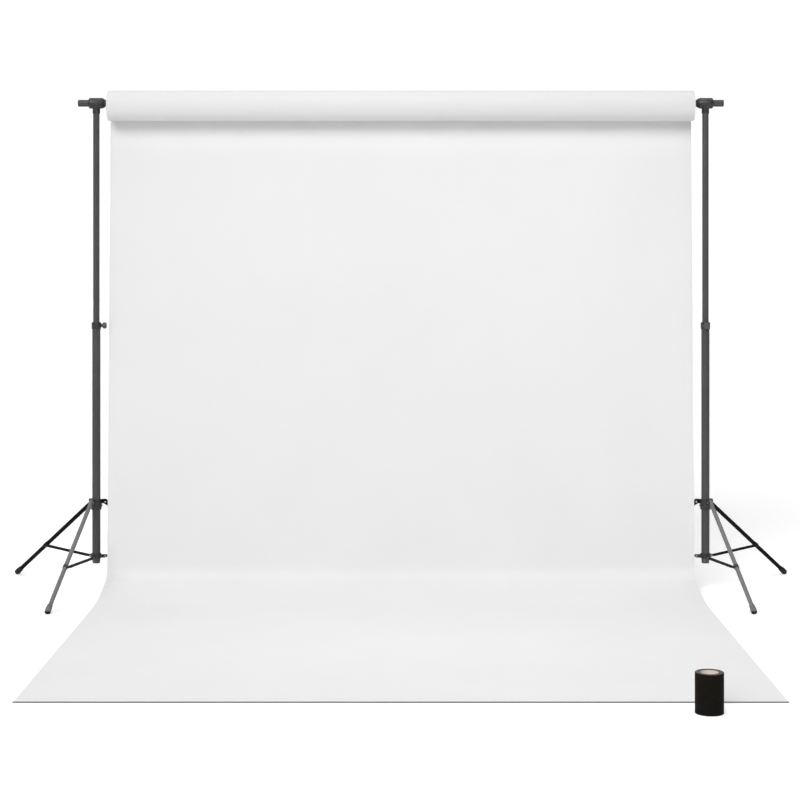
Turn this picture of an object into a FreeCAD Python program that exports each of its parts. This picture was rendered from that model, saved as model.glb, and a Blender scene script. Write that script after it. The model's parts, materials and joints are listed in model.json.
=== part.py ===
import FreeCAD, Part
import math
import os

import Sketcher
from FreeCAD import Matrix, Placement, Rotation, Vector

# Background support system: two folding stands carry a four-section crossbar, and a roll of
# background paper hangs on the bar and sweeps down onto the floor in front of it.
#
# Frame: millimetres, +Z up, the floor is Z = 0, +X runs along the crossbar to the right stand,
# and -Y is the side that the subject stands on. The stand line is at Y = stand_y, which puts the
# origin at the middle of the whole footprint.

DIMENSIONS = {
    # places of the main axes
    "stand_x": 1416.0,
    "stand_y": 957.5,
    "bar_z": 2258.5,
    # general fits: running clearance, gap between moving faces, rivets
    "running_fit": 0.05,
    "side_gap": 0.4,
    "rivet_radius": 3.0,
    "rivet_head_radius": 4.5,
    "rivet_head_height": 1.5,
    # lower column with its end cap
    "column_radius": 19.0,
    "column_wall": 1.5,
    "column_bottom": 143.5,
    "column_top": 1216.0,
    "cap_bottom": 121.5,
    "cap_tip_radius": 17.2,
    "cap_plug_height": 20.0,
    # mast, the upper tube, with the bush that guides its lower end
    "mast_radius": 14.8,
    "mast_wall": 1.2,
    "mast_bottom": 1075.0,
    "mast_top": 2236.0,
    "bush_height": 40.0,
    # lock collar on top of the column
    "lock_radius": 22.0,
    "lock_bottom": 1208.5,
    "lock_top": 1241.0,
    "lock_chamfer": 3.0,
    "lock_boss_radius": 8.0,
    "lock_boss_reach": 26.0,
    "lock_screw_z": 1225.5,
    # star knobs of the lock collars and the leg collars
    "knob_screw_radius": 3.0,
    "knob_neck_radius": 6.5,
    "knob_neck_height": 3.6,
    "knob_grip_radius": 15.5,
    "knob_grip_height": 17.0,
    "knob_edge": 3.5,
    "knob_notch_radius": 4.2,
    # leg collar that slides on the column, and its three arms
    "collar_sleeve_radius": 24.0,
    "collar_bottom": 370.0,
    "collar_top": 418.0,
    "collar_arm_tip": 53.0,
    "collar_arm_height": 21.0,
    "collar_arm_inner": -2.6,
    "collar_arm_outer": 1.4,
    "collar_screw_z": 383.0,
    # brace bracket fixed near the foot of the column
    "bracket_bottom": 145.0,
    "bracket_top": 167.0,
    "bracket_arm_tip": 49.0,
    "bracket_arm_height": 16.0,
    "bracket_arm_outer": 0.8,
    "bracket_pivot_r": 41.0,
    "bracket_pivot_z": 152.5,
    # legs and feet
    "leg_radius": 9.5,
    "leg_wall": 1.2,
    "leg_side": 12.5,
    "leg_pivot_r": 38.0,
    "leg_pivot_z": 406.0,
    "leg_head": 12.0,
    "foot_r": 600.0,
    "foot_z": 7.0,
    "foot_length": 46.0,
    "foot_neck_radius": 11.2,
    "foot_tip_radius": 13.25,
    "foot_tip_edge": 3.0,
    "foot_tip_length": 14.0,
    "foot_sole": 8.0,
    # braces, pressed steel channels, and the saddles that hold them to the legs
    "brace_joint": 0.6,
    "brace_height": 12.0,
    "brace_sheet": 1.2,
    "brace_inner": 1.2,
    "brace_flange": 3.8,
    "brace_tab": 16.0,
    "saddle_radius": 11.6,
    "saddle_height": 17.0,
    "saddle_boss_radius": 6.5,
    "saddle_boss_end": 0.8,
    # tee head that joins the mast to the crossbar
    "tee_radius": 25.0,
    "tee_outer_reach": 34.0,
    "tee_body_reach": 27.0,
    "tee_nose_start": 36.0,
    "tee_inner_reach": 40.0,
    "tee_nose_radius": 18.5,
    "tee_chamfer": 4.0,
    "tee_stub_radius": 17.4,
    "tee_stub_bottom": 2210.0,
    "tee_screw_gap": 0.6,
    "tee_knob_neck_height": 3.0,
    "tee_knob_radius": 10.0,
    "tee_knob_height": 9.0,
    "tee_knob_edge": 1.5,
    "tee_knob_notch_radius": 2.6,
    # crossbar of four plug-together sections
    "bar_radius": 16.0,
    "bar_wall": 1.4,
    "bar_section": 750.0,
    "bar_spigot": 60.0,
    "bar_end_chamfer": 1.2,
    "bar_groove_start": 48.4,
    "bar_groove_width": 1.2,
    "bar_groove_depth": 0.4,
    # paper roll and the sheet that comes off its back
    "paper_width": 2720.0,
    "paper_thickness": 1.0,
    "core_inner": 28.0,
    "core_outer": 32.0,
    "core_overhang": 1.0,
    "roll_radius": 70.5,
    "roll_bar_gap": 0.3,
    "sheet_lean": 2.85,
    "bend_radius": 70.0,
    "sweep_radius": 1450.0,
    "sweep_angle": 15.0,
    "sheet_reach": 2134.5,
    # roll of floor tape that stands in front of the sheet
    "tape_x": 1057.0,
    "tape_y": 2270.0,
    "tape_radius": 50.0,
    "tape_height": 140.0,
    "tape_core_inner": 33.0,
    "tape_core_outer": 36.0,
    "tape_edge": 1.2,
}

# Azimuths in degrees, counted from +X on the left stand, and mirrored on the right stand.
LEG_AZIMUTHS = {"front": 260.0, "outer": 140.0, "inner": 20.0}
COLLAR_KNOB_AZIMUTH = 80.0
# The lock knobs are turned to suit the user: the left one inwards, the right one to the front.
LOCK_KNOB_AZIMUTHS = {"left": 0.0, "right": 270.0}
HANDS = {"left": 1, "right": -1}
KNOB_NOTCHES = 6
TEE_KNOB_NOTCHES = 10
BAR_SECTIONS = 4
FULL_TURN = 360.0


class Size:
    """A length that holds both its value and the expression that binds it to the sheet."""

    def __init__(self, value, text):
        self.value = float(value)
        self.text = text

    @staticmethod
    def of(other):
        """Return other as a Size, so that plain numbers can join in."""
        if isinstance(other, Size):
            return other
        return Size(other, repr(float(other)))

    def __add__(self, other):
        other = Size.of(other)
        return Size(self.value + other.value, f"({self.text} + {other.text})")

    def __sub__(self, other):
        other = Size.of(other)
        return Size(self.value - other.value, f"({self.text} - {other.text})")

    def __mul__(self, other):
        other = Size.of(other)
        return Size(self.value * other.value, f"({self.text} * {other.text})")

    def __truediv__(self, other):
        other = Size.of(other)
        return Size(self.value / other.value, f"({self.text} / {other.text})")

    def __neg__(self):
        return Size(-self.value, f"(0 - {self.text})")


doc = FreeCAD.newDocument("background_support")
sheet = doc.addObject("Spreadsheet::Sheet", "Dims")
for row, (alias, number) in enumerate(DIMENSIONS.items(), start=1):
    sheet.set(f"A{row}", alias)
    sheet.set(f"B{row}", str(number))
    sheet.setAlias(f"B{row}", alias)
doc.recompute()

nodes = {}


def dim(alias):
    """Return the sheet's cell of that alias as a Size."""
    return Size(sheet.get(alias), f"Dims.{alias}")


def num(alias):
    """Return the sheet's cell of that alias as a number."""
    return float(sheet.get(alias))


def bind(item, prop, size):
    """Set a property and bind it to the sheet."""
    size = Size.of(size)
    setattr(item, prop, size.value)
    item.setExpression(prop, size.text)


def register(name, item, placement=None):
    """Name a finished sub-part and put it in its place."""
    item.Label = name
    if placement is not None:
        item.Placement = placement
    nodes[name] = item
    return item


# ---------------------------------------------------------------- Part primitives and booleans
def cylinder(name, radius, height, placement=None):
    """A Part::Cylinder along its own Z axis."""
    item = doc.addObject("Part::Cylinder", name)
    bind(item, "Radius", radius)
    bind(item, "Height", height)
    if placement is not None:
        item.Placement = placement
    return item


def box(name, length, width, height, placement=None):
    """A Part::Box from its own corner."""
    item = doc.addObject("Part::Box", name)
    bind(item, "Length", length)
    bind(item, "Width", width)
    bind(item, "Height", height)
    if placement is not None:
        item.Placement = placement
    return item


def fuse(name, items):
    """Join solids into one."""
    item = doc.addObject("Part::MultiFuse", name)
    item.Shapes = items
    item.Refine = True
    return item


def cut(name, base, tool):
    """Take one solid out of another."""
    item = doc.addObject("Part::Cut", name)
    item.Base = base
    item.Tool = tool
    item.Refine = True
    return item


def group(name, items):
    """Keep separate solids together in one node."""
    item = doc.addObject("Part::Compound", name)
    item.Links = items
    return item


# ---------------------------------------------------------------- PartDesign bodies
def plane(body, role):
    """Return the body's own origin plane of that role."""
    return next(item for item in body.Origin.OriginFeatures if item.Role == role)


def new_sketch(body, name, role):
    """A sketch on one of the body's own origin planes."""
    sketch = body.newObject("Sketcher::SketchObject", name)
    sketch.AttachmentSupport = [(plane(body, role), "")]
    sketch.MapMode = "FlatFace"
    return sketch


def pin_point(sketch, line, across, up):
    """Hold the start of a line at (across, up), each bound to the sheet."""
    places = ((across, "DistanceX", -2), (up, "DistanceY", -1))
    for size, kind, axis in places:
        if size.value == 0:
            sketch.addConstraint(Sketcher.Constraint("PointOnObject", line, 1, axis))
            continue
        ends = (-1, 1, line, 1) if size.value > 0 else (line, 1, -1, 1)
        index = sketch.addConstraint(Sketcher.Constraint(kind, *ends, abs(size.value)))
        text = size.text if size.value > 0 else f"-{size.text}"
        sketch.setExpression(f"Constraints[{index}]", text)


def add_outline(sketch, points):
    """A closed outline of straight lines through points, each a pair of sizes."""
    points = [(Size.of(across), Size.of(up)) for across, up in points]
    corners = [Vector(across.value, up.value, 0) for across, up in points]
    count = len(corners)
    for index, corner in enumerate(corners):
        sketch.addGeometry(Part.LineSegment(corner, corners[(index + 1) % count]), False)
    for index in range(count):
        follower = (index + 1) % count
        sketch.addConstraint(Sketcher.Constraint("Coincident", index, 2, follower, 1))
    for index, (across, up) in enumerate(points):
        pin_point(sketch, index, across, up)


def add_circle(sketch, across, up, radius):
    """A circle with its centre and radius bound to the sheet."""
    across, up, radius = Size.of(across), Size.of(up), Size.of(radius)
    centre = Vector(across.value, up.value, 0)
    circle = sketch.addGeometry(Part.Circle(centre, Vector(0, 0, 1), radius.value), False)
    index = sketch.addConstraint(Sketcher.Constraint("Radius", circle, radius.value))
    sketch.setExpression(f"Constraints[{index}]", radius.text)
    for size, kind, axis in ((across, "DistanceX", -2), (up, "DistanceY", -1)):
        if size.value == 0:
            sketch.addConstraint(Sketcher.Constraint("PointOnObject", circle, 3, axis))
            continue
        index = sketch.addConstraint(Sketcher.Constraint(kind, -1, 1, circle, 3, size.value))
        sketch.setExpression(f"Constraints[{index}]", size.text)


def turned(name, points):
    """A body turned about its own Z axis from an outline in (radius, height)."""
    body = doc.addObject("PartDesign::Body", name)
    sketch = new_sketch(body, f"{name}_outline", "XZ_Plane")
    add_outline(sketch, points)
    turn = body.newObject("PartDesign::Revolution", f"{name}_turn")
    turn.Profile = sketch
    turn.ReferenceAxis = (sketch, ["V_Axis"])
    turn.Angle = FULL_TURN
    body.Tip = turn
    return body


def tube(name, outer, inner, low, high):
    """A plain tube along Z, as a turned body."""
    return turned(name, [(inner, low), (outer, low), (outer, high), (inner, high)])


# ---------------------------------------------------------------- places
def upright(x, y, z=0.0):
    """A placement that only moves."""
    return Placement(Vector(x, y, z), Rotation())


def axes(origin, along_x, along_y):
    """A placement whose own X and Y axes lie along the two directions."""
    along_z = along_x.cross(along_y)
    return Placement(Matrix(
        along_x.x, along_y.x, along_z.x, origin.x,
        along_x.y, along_y.y, along_z.y, origin.y,
        along_x.z, along_y.z, along_z.z, origin.z,
        0, 0, 0, 1))


def radial(azimuth):
    """The outward direction at an azimuth in degrees."""
    angle = math.radians(azimuth)
    return Vector(math.cos(angle), math.sin(angle), 0)


def spoke(azimuth, reach, side, height):
    """A placement with X outwards, Y sideways and Z up, at a point of a leg's plane."""
    outwards = radial(azimuth)
    sideways = Vector(0, 0, 1).cross(outwards)
    origin = outwards * reach + sideways * side + Vector(0, 0, height)
    return axes(origin, outwards, sideways)


def pointing(placement, direction):
    """Turn a placement's Z axis to a direction given in its own frame."""
    return placement.multiply(Placement(Vector(), Rotation(Vector(0, 0, 1), direction)))


class Stand:
    """One folding stand. Its pieces are made about its own column, then moved to its place."""

    def __init__(self, side):
        self.side = side
        self.hand = HANDS[side]
        self.place = upright(-self.hand * num("stand_x"), num("stand_y"))

    def name(self, piece):
        """The node name of one of this stand's pieces."""
        return f"{self.side}_{piece}"

    def azimuth(self, angle):
        """An azimuth of the left stand, mirrored on the right one."""
        return angle if self.hand > 0 else 180.0 - angle

    def spoke(self, angle, reach, side, height):
        """A spoke placement in this stand's frame, mirrored on the right stand."""
        return spoke(self.azimuth(angle), reach, self.hand * side, height)

    def finish(self, piece, item, place=None):
        """Register a piece whose place is given in this stand's frame."""
        place = Placement() if place is None else place
        return register(self.name(piece), item, self.place.multiply(place))

    # column, cap and mast -------------------------------------------------
    def column(self):
        """The lower column, a plain painted tube."""
        inner = dim("column_radius") - dim("column_wall")
        item = tube(self.name("lower_column"), dim("column_radius"), inner,
                    dim("column_bottom"), dim("column_top"))
        self.finish("lower_column", item)

    def end_cap(self):
        """The tapered plug that closes the foot of the column."""
        inner = dim("column_radius") - dim("column_wall") - dim("running_fit")
        seat = dim("column_bottom")
        item = turned(self.name("column_end_cap"), [
            (0, dim("cap_bottom")),
            (dim("cap_tip_radius"), dim("cap_bottom")),
            (dim("column_radius"), seat),
            (inner, seat),
            (inner, seat + dim("cap_plug_height")),
            (0, seat + dim("cap_plug_height"))])
        self.finish("column_end_cap", item)

    def mast(self):
        """The upper tube that telescopes in the column."""
        inner = dim("mast_radius") - dim("mast_wall")
        item = tube(self.name("mast_tube"), dim("mast_radius"), inner,
                    dim("mast_bottom"), dim("mast_top"))
        self.finish("mast_tube", item)

    def bush(self):
        """The plastic bush on the mast's lower end, running in the column."""
        outer = dim("column_radius") - dim("column_wall") - dim("running_fit")
        inner = dim("mast_radius") + dim("running_fit")
        item = tube(self.name("mast_bush"), outer, inner, dim("mast_bottom"),
                    dim("mast_bottom") + dim("bush_height"))
        self.finish("mast_bush", item)

    def lock_collar(self):
        """The collar on the column's top, with a threaded boss that points at the knob."""
        name = self.name("mast_lock_collar")
        outer = dim("lock_radius")
        chamfer = dim("lock_chamfer")
        socket = dim("column_radius") + dim("running_fit")
        bore = dim("mast_radius") + dim("running_fit")
        low, step, high = dim("lock_bottom"), dim("column_top"), dim("lock_top")
        ring = turned(f"{name}_ring", [
            (socket, low), (outer - chamfer / 2, low), (outer, low + chamfer),
            (outer, high - chamfer), (outer - chamfer, high), (bore, high),
            (bore, step), (socket, step)])
        start = socket + dim("side_gap")
        facing = spoke(LOCK_KNOB_AZIMUTHS[self.side], start.value, 0, num("lock_screw_z"))
        outwards = pointing(facing, Vector(1, 0, 0))
        boss = cylinder(f"{name}_boss", dim("lock_boss_radius"),
                        dim("lock_boss_reach") - start, outwards)
        blank = fuse(f"{name}_blank", [ring, boss])
        through = spoke(LOCK_KNOB_AZIMUTHS[self.side], 0, 0, num("lock_screw_z"))
        hole = cylinder(f"{name}_hole", dim("knob_screw_radius") + dim("running_fit"),
                        dim("lock_boss_reach") * 2, pointing(through, Vector(1, 0, 0)))
        self.finish("mast_lock_collar", cut(name, blank, hole))

    # knobs ----------------------------------------------------------------
    def knob(self, piece, azimuth, height, screw_start, boss_end):
        """A star knob with its screw, pointing outwards at an azimuth."""
        name = self.name(piece)
        neck = boss_end + dim("side_gap")
        item = star_knob(name, StarSizes(
            screw_start, neck, dim("knob_neck_radius"), dim("knob_neck_height"),
            dim("knob_grip_radius"), dim("knob_grip_height"), dim("knob_edge"),
            dim("knob_notch_radius"), KNOB_NOTCHES))
        facing = spoke(azimuth, 0, 0, height)
        self.finish(piece, item, pointing(facing, Vector(1, 0, 0)))

    def lock_knob(self):
        """The knob that clamps the mast at its height."""
        self.knob("mast_lock_knob", LOCK_KNOB_AZIMUTHS[self.side], num("lock_screw_z"),
                  dim("mast_radius") + dim("side_gap"), dim("lock_boss_reach"))

    def collar_knob(self):
        """The knob that clamps the leg collar, between two legs at the back."""
        self.knob("leg_collar_knob", self.azimuth(COLLAR_KNOB_AZIMUTH), num("collar_screw_z"),
                  dim("column_radius") + dim("side_gap"), dim("lock_boss_reach"))

    # leg collar and bracket -----------------------------------------------
    def arm(self, name, angle, arm_z, tip, height, inner_side, outer_side):
        """A flat arm with a round tip, standing in a leg's plane."""
        half = height / 2
        thickness = outer_side - inner_side
        root = dim("column_radius") + dim("knob_screw_radius")
        left_edge = inner_side if self.hand > 0 else -outer_side
        low = arm_z - half
        frame = spoke(self.azimuth(angle), root.value, left_edge.value, low.value)
        blade = box(f"{name}_blade", tip - half - root, thickness, height, frame)
        round_place = spoke(self.azimuth(angle), (tip - half).value,
                            (left_edge + thickness).value, arm_z.value)
        tip_round = cylinder(f"{name}_tip", half, thickness,
                             pointing(round_place, Vector(0, -1, 0)))
        return [blade, tip_round]

    def armed_sleeve(self, piece, sleeve, arm_sizes, pivot, extra=None, extra_hole=None):
        """A sleeve with three pierced arms, and optionally a boss with its own hole."""
        name = self.name(piece)
        solids = [sleeve]
        holes = []
        pivot_r, pivot_z = pivot
        for leg, angle in LEG_AZIMUTHS.items():
            solids += self.arm(f"{name}_{leg}", angle, *arm_sizes)
            place = self.spoke(angle, pivot_r.value, 0, pivot_z.value)
            across = pointing(place, Vector(0, 1, 0))
            back = across.multiply(upright(0, 0, -num("collar_sleeve_radius")))
            holes.append(cylinder(f"{name}_{leg}_hole",
                                  dim("rivet_radius") + dim("running_fit"),
                                  dim("collar_sleeve_radius") * 2, back))
        if extra is not None:
            solids.append(extra)
        blank = fuse(f"{name}_blank", solids)
        bore = cylinder(f"{name}_bore", dim("column_radius") + dim("running_fit"),
                        dim("leg_pivot_z") * 2)
        holes.append(bore)
        if extra_hole is not None:
            holes.append(extra_hole)
        self.finish(piece, cut(name, blank, fuse(f"{name}_holes", holes)))

    def leg_collar(self):
        """The sliding collar that the three legs hang from."""
        name = self.name("leg_collar")
        radius = dim("collar_sleeve_radius")
        chamfer = dim("lock_chamfer") / 2
        low, high = dim("collar_bottom"), dim("collar_top")
        sleeve = turned(f"{name}_sleeve", [
            (0, low), (radius - chamfer, low), (radius, low + chamfer),
            (radius, high - chamfer), (radius - chamfer, high), (0, high)])
        facing = spoke(self.azimuth(COLLAR_KNOB_AZIMUTH), 0, 0, num("collar_screw_z"))
        outwards = pointing(facing, Vector(1, 0, 0))
        boss = cylinder(f"{name}_boss", dim("lock_boss_radius"), dim("lock_boss_reach"), outwards)
        hole = cylinder(f"{name}_screw_hole", dim("knob_screw_radius") + dim("running_fit"),
                        dim("lock_boss_reach") * 2, outwards)
        arm_z = dim("leg_pivot_z") + (dim("collar_top") - dim("leg_pivot_z")
                                      - dim("collar_arm_height") / 2)
        sizes = (arm_z, dim("collar_arm_tip"), dim("collar_arm_height"),
                 dim("collar_arm_inner"), dim("collar_arm_outer"))
        self.armed_sleeve("leg_collar", sleeve, sizes,
                          (dim("leg_pivot_r"), dim("leg_pivot_z")), boss, hole)

    def brace_bracket(self):
        """The bracket fixed to the column that the braces turn on."""
        name = self.name("brace_bracket")
        radius = dim("collar_sleeve_radius")
        chamfer = dim("lock_chamfer") / 2
        low, high = dim("bracket_bottom"), dim("bracket_top")
        sleeve = turned(f"{name}_sleeve", [
            (0, low), (radius - chamfer, low), (radius, low + chamfer),
            (radius, high - chamfer), (radius - chamfer, high), (0, high)])
        sizes = (dim("bracket_pivot_z"), dim("bracket_arm_tip"), dim("bracket_arm_height"),
                 dim("collar_arm_inner"), dim("bracket_arm_outer"))
        self.armed_sleeve("brace_bracket", sleeve, sizes,
                          (dim("bracket_pivot_r"), dim("bracket_pivot_z")))

    def rivets(self, piece, pivot_r, pivot_z, low_side, high_side):
        """The three rivets of one collar, each through an arm and what turns on it."""
        name = self.name(piece)
        solids = []
        for leg, angle in LEG_AZIMUTHS.items():
            length = high_side - low_side
            solid = rivet(f"{name}_{leg}", length)
            place = self.spoke(angle, pivot_r.value, low_side.value, pivot_z.value)
            solid.Placement = pointing(place, Vector(0, self.hand, 0))
            solids.append(solid)
        self.finish(piece, group(name, solids))

    def leg_rivets(self):
        """The rivets that the legs turn on, riding in the leg collar."""
        low = -(dim("leg_side") + dim("leg_radius") + dim("side_gap"))
        self.rivets("leg_rivets", dim("leg_pivot_r"), dim("leg_pivot_z"), low,
                    dim("collar_arm_outer"))

    def brace_rivets(self):
        """The rivets that the braces turn on, fixed in the brace bracket."""
        high = dim("brace_inner") + dim("brace_sheet") + dim("side_gap")
        self.rivets("brace_rivets", dim("bracket_pivot_r"), dim("bracket_pivot_z"),
                    dim("collar_arm_inner"), high)

    # legs, feet, saddles and braces ----------------------------------------
    def leg_place(self, angle, slope):
        """The frame of a leg: origin at its pivot, own -Z along the leg to the foot."""
        pivot = self.spoke(angle, num("leg_pivot_r"), -num("leg_side"), num("leg_pivot_z"))
        return pivot.multiply(Placement(Vector(), Rotation(Vector(0, 1, 0), -slope)))

    def leg(self, leg, place, length):
        """A leg tube, closed at its upper end and pierced for its rivet."""
        name = self.name(f"{leg}_leg")
        outer = dim("leg_radius")
        inner = outer - dim("leg_wall")
        top = dim("leg_head")
        bevel = dim("leg_wall") * 2
        end = -(length - dim("foot_sole"))
        shell = turned(f"{name}_tube", [
            (inner, end), (outer, end), (outer, top - bevel), (outer - bevel, top),
            (0, top), (0, top - dim("leg_wall") * 2), (inner, top - dim("leg_wall") * 2)])
        hole = cylinder(f"{name}_hole", dim("rivet_radius") + dim("running_fit"),
                        dim("leg_radius") * 4,
                        Placement(Vector(0, 2 * num("leg_radius"), 0),
                                  Rotation(Vector(0, 0, 1), Vector(0, -1, 0))))
        self.finish(f"{leg}_leg", cut(name, shell, hole), place)

    def foot(self, leg, place, length):
        """A rubber foot on the leg's end, cut flat where it stands on the floor."""
        name = self.name(f"{leg}_foot")
        tip = dim("foot_tip_radius")
        neck = dim("foot_neck_radius")
        edge = dim("foot_tip_edge")
        bore = dim("leg_radius") + dim("running_fit")
        end = -length
        seat = end + dim("foot_sole")
        boot = turned(f"{name}_boot", [
            (0, end), (tip - edge, end), (tip, end + edge), (tip, end + dim("foot_tip_length")),
            (neck, end + dim("foot_length")), (bore, end + dim("foot_length")),
            (bore, seat), (0, seat)])
        reach = dim("foot_length")
        side = -self.hand * num("leg_side")
        below = spoke(self.azimuth(LEG_AZIMUTHS[leg]), num("foot_r") - reach.value,
                      side - reach.value, -reach.value)
        under = place.inverse().multiply(below)
        floor = box(f"{name}_floor", reach * 2, reach * 2, reach, under)
        self.finish(f"{leg}_foot", cut(name, boot, floor), place)

    def saddle(self, leg, place, length):
        """The saddle clipped round the leg where its brace joins it."""
        name = self.name(f"{leg}_brace_saddle")
        half = dim("saddle_height") / 2
        middle = -(length * dim("brace_joint"))
        ring = turned(f"{name}_ring", [
            (0, middle - half), (dim("saddle_radius"), middle - half),
            (dim("saddle_radius"), middle + half), (0, middle + half)])
        reach = dim("leg_side") + dim("saddle_boss_end")
        sideways = Placement(Vector(0, 0, middle.value),
                             Rotation(Vector(0, 0, 1), Vector(0, self.hand, 0)))
        boss = cylinder(f"{name}_boss", dim("saddle_boss_radius"), reach, sideways)
        blank = fuse(f"{name}_blank", [ring, boss])
        bore = cylinder(f"{name}_bore", dim("leg_radius") + dim("running_fit"),
                        dim("saddle_height") * 2,
                        Placement(Vector(0, 0, (middle - half * 2).value), Rotation()))
        self.finish(f"{leg}_brace_saddle", cut(name, blank, bore), place)

    def brace(self, leg, place, length):
        """A channel brace that turns on its bracket, with the rivet at its outer end."""
        name = self.name(f"{leg}_brace")
        body = doc.addObject("PartDesign::Body", f"{name}_channel")
        half = dim("brace_height") / 2
        web_sketch = new_sketch(body, f"{name}_web_outline", "XZ_Plane")
        end = dim("brace_height") / 2
        add_outline(web_sketch, [
            (-end, -half * 0.5), (-end * 0.5, -half), (length + end * 0.5, -half),
            (length + end, -half * 0.5), (length + end, half * 0.5), (length + end * 0.5, half),
            (-end * 0.5, half), (-end, half * 0.5)])
        web = pad(body, web_sketch, f"{name}_web", dim("brace_sheet"))
        for index, edge in enumerate((-half, half - dim("brace_sheet"))):
            rim = new_sketch(body, f"{name}_rim_outline_{index}", "XZ_Plane")
            tab = dim("brace_tab")
            add_outline(rim, [
                (tab, edge), (length - tab, edge),
                (length - tab, edge + dim("brace_sheet")), (tab, edge + dim("brace_sheet"))])
            web = pad(body, rim, f"{name}_rim_{index}", dim("brace_sheet") + dim("brace_flange"))
        body.Tip = web
        hole = cylinder(f"{name}_hole", dim("rivet_radius") + dim("running_fit"),
                        dim("brace_sheet") * 4,
                        Placement(Vector(0, 2 * num("brace_sheet"), 0),
                                  Rotation(Vector(0, 0, 1), Vector(0, -1, 0))))
        channel = cut(f"{name}_pierced", body, hole)
        head = turned(f"{name}_rivet", rivet_head_outline(Size.of(0)))
        head.Placement = Placement(Vector(length.value, num("brace_sheet"), 0),
                                   Rotation(Vector(0, 0, 1), Vector(0, 1, 0)))
        self.finish(f"{leg}_brace", group(name, [channel, head]), place)

    def linkage(self):
        """All three legs with what they carry, and the braces that spread them."""
        rise = num("leg_pivot_z") - num("foot_z")
        run = num("foot_r") - num("leg_pivot_r")
        length = Size.of(math.hypot(rise, run))
        slope = math.degrees(math.atan2(run, rise))
        joint = length.value * num("brace_joint")
        joint_r = num("leg_pivot_r") + joint * run / length.value
        joint_z = num("leg_pivot_z") - joint * rise / length.value
        brace_run = joint_r - num("bracket_pivot_r")
        brace_rise = joint_z - num("bracket_pivot_z")
        brace_length = Size.of(math.hypot(brace_run, brace_rise))
        brace_tilt = math.degrees(math.atan2(brace_rise, brace_run))
        for leg, angle in LEG_AZIMUTHS.items():
            place = self.leg_place(angle, slope)
            self.leg(leg, place, length)
            self.foot(leg, place, length)
            self.saddle(leg, place, length)
            pivot = self.spoke(angle, num("bracket_pivot_r"), num("brace_inner"),
                               num("bracket_pivot_z"))
            tilted = pivot.multiply(Placement(Vector(), Rotation(Vector(0, 1, 0), -brace_tilt)))
            flipped = Rotation() if self.hand > 0 else Rotation(Vector(1, 0, 0), 180)
            self.brace(leg, tilted.multiply(Placement(Vector(), flipped)), brace_length)

    # tee head ---------------------------------------------------------------
    def tee_head(self):
        """The tee that slips over the mast and carries the crossbar."""
        name = self.name("tee_head")
        radius, chamfer = dim("tee_radius"), dim("tee_chamfer")
        outer = -dim("tee_outer_reach")
        barrel = turned(f"{name}_barrel", [
            (0, outer), (radius - chamfer, outer), (radius, outer + chamfer),
            (radius, dim("tee_body_reach")),
            (dim("tee_nose_radius") + chamfer / 2, dim("tee_nose_start")),
            (dim("tee_nose_radius"), dim("tee_inner_reach")), (0, dim("tee_inner_reach"))])
        barrel.Placement = Placement(Vector(0, 0, num("bar_z")),
                                     Rotation(Vector(0, 0, 1), Vector(self.hand, 0, 0)))
        stub_low = dim("tee_stub_bottom")
        stub_chamfer = chamfer / 4
        stub = turned(f"{name}_stub", [
            (0, stub_low), (dim("tee_stub_radius") - stub_chamfer, stub_low),
            (dim("tee_stub_radius"), stub_low + stub_chamfer),
            (dim("tee_stub_radius"), dim("bar_z")), (0, dim("bar_z"))])
        blank = fuse(f"{name}_blank", [barrel, stub])
        bar_bore = cylinder(f"{name}_bar_bore", dim("bar_radius") + dim("running_fit"),
                            dim("tee_radius") * 4,
                            Placement(Vector(-2 * num("tee_radius"), 0, num("bar_z")),
                                      Rotation(Vector(0, 0, 1), Vector(1, 0, 0))))
        socket = cylinder(f"{name}_socket", dim("mast_radius") + dim("running_fit"),
                          dim("mast_top") - stub_low + dim("running_fit") + dim("side_gap"),
                          upright(0, 0, num("tee_stub_bottom") - num("side_gap")))
        screw_hole = cylinder(f"{name}_screw_hole",
                              dim("knob_screw_radius") + dim("running_fit"),
                              dim("tee_radius") * 2,
                              Placement(Vector(0, 0, num("bar_z")),
                                        Rotation(Vector(0, 0, 1), Vector(0, 1, 0))))
        holes = fuse(f"{name}_holes", [bar_bore, socket, screw_hole])
        self.finish("tee_head", cut(name, blank, holes))

    def tee_screw(self):
        """The thumb screw at the back of the tee that clamps the crossbar."""
        name = self.name("tee_lock_screw")
        item = star_knob(name, StarSizes(
            dim("bar_radius") + dim("tee_screw_gap"), dim("tee_radius") + dim("side_gap"),
            dim("knob_neck_radius"), dim("tee_knob_neck_height"), dim("tee_knob_radius"),
            dim("tee_knob_height"), dim("tee_knob_edge"), dim("tee_knob_notch_radius"),
            TEE_KNOB_NOTCHES))
        facing = Placement(Vector(0, 0, num("bar_z")), Rotation(Vector(0, 0, 1), Vector(0, 1, 0)))
        self.finish("tee_lock_screw", item, facing)

    def build(self):
        """Make every piece of the stand."""
        self.column()
        self.end_cap()
        self.brace_bracket()
        self.brace_rivets()
        self.leg_collar()
        self.leg_rivets()
        self.collar_knob()
        self.linkage()
        self.lock_collar()
        self.lock_knob()
        self.mast()
        self.bush()
        self.tee_head()
        self.tee_screw()


# ---------------------------------------------------------------- shared small parts
class StarSizes:
    """The sizes of a star knob, along its own axis from the screw's tip outwards."""

    def __init__(self, screw_start, neck_start, neck_radius, neck_height, grip_radius,
                 grip_height, edge, notch_radius, notches):
        self.screw_start = screw_start
        self.neck_start = neck_start
        self.neck_radius = neck_radius
        self.grip_start = neck_start + neck_height
        self.grip_end = neck_start + neck_height + grip_height
        self.grip_radius = grip_radius
        self.edge = edge
        self.notch_radius = notch_radius
        self.notches = notches


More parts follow.
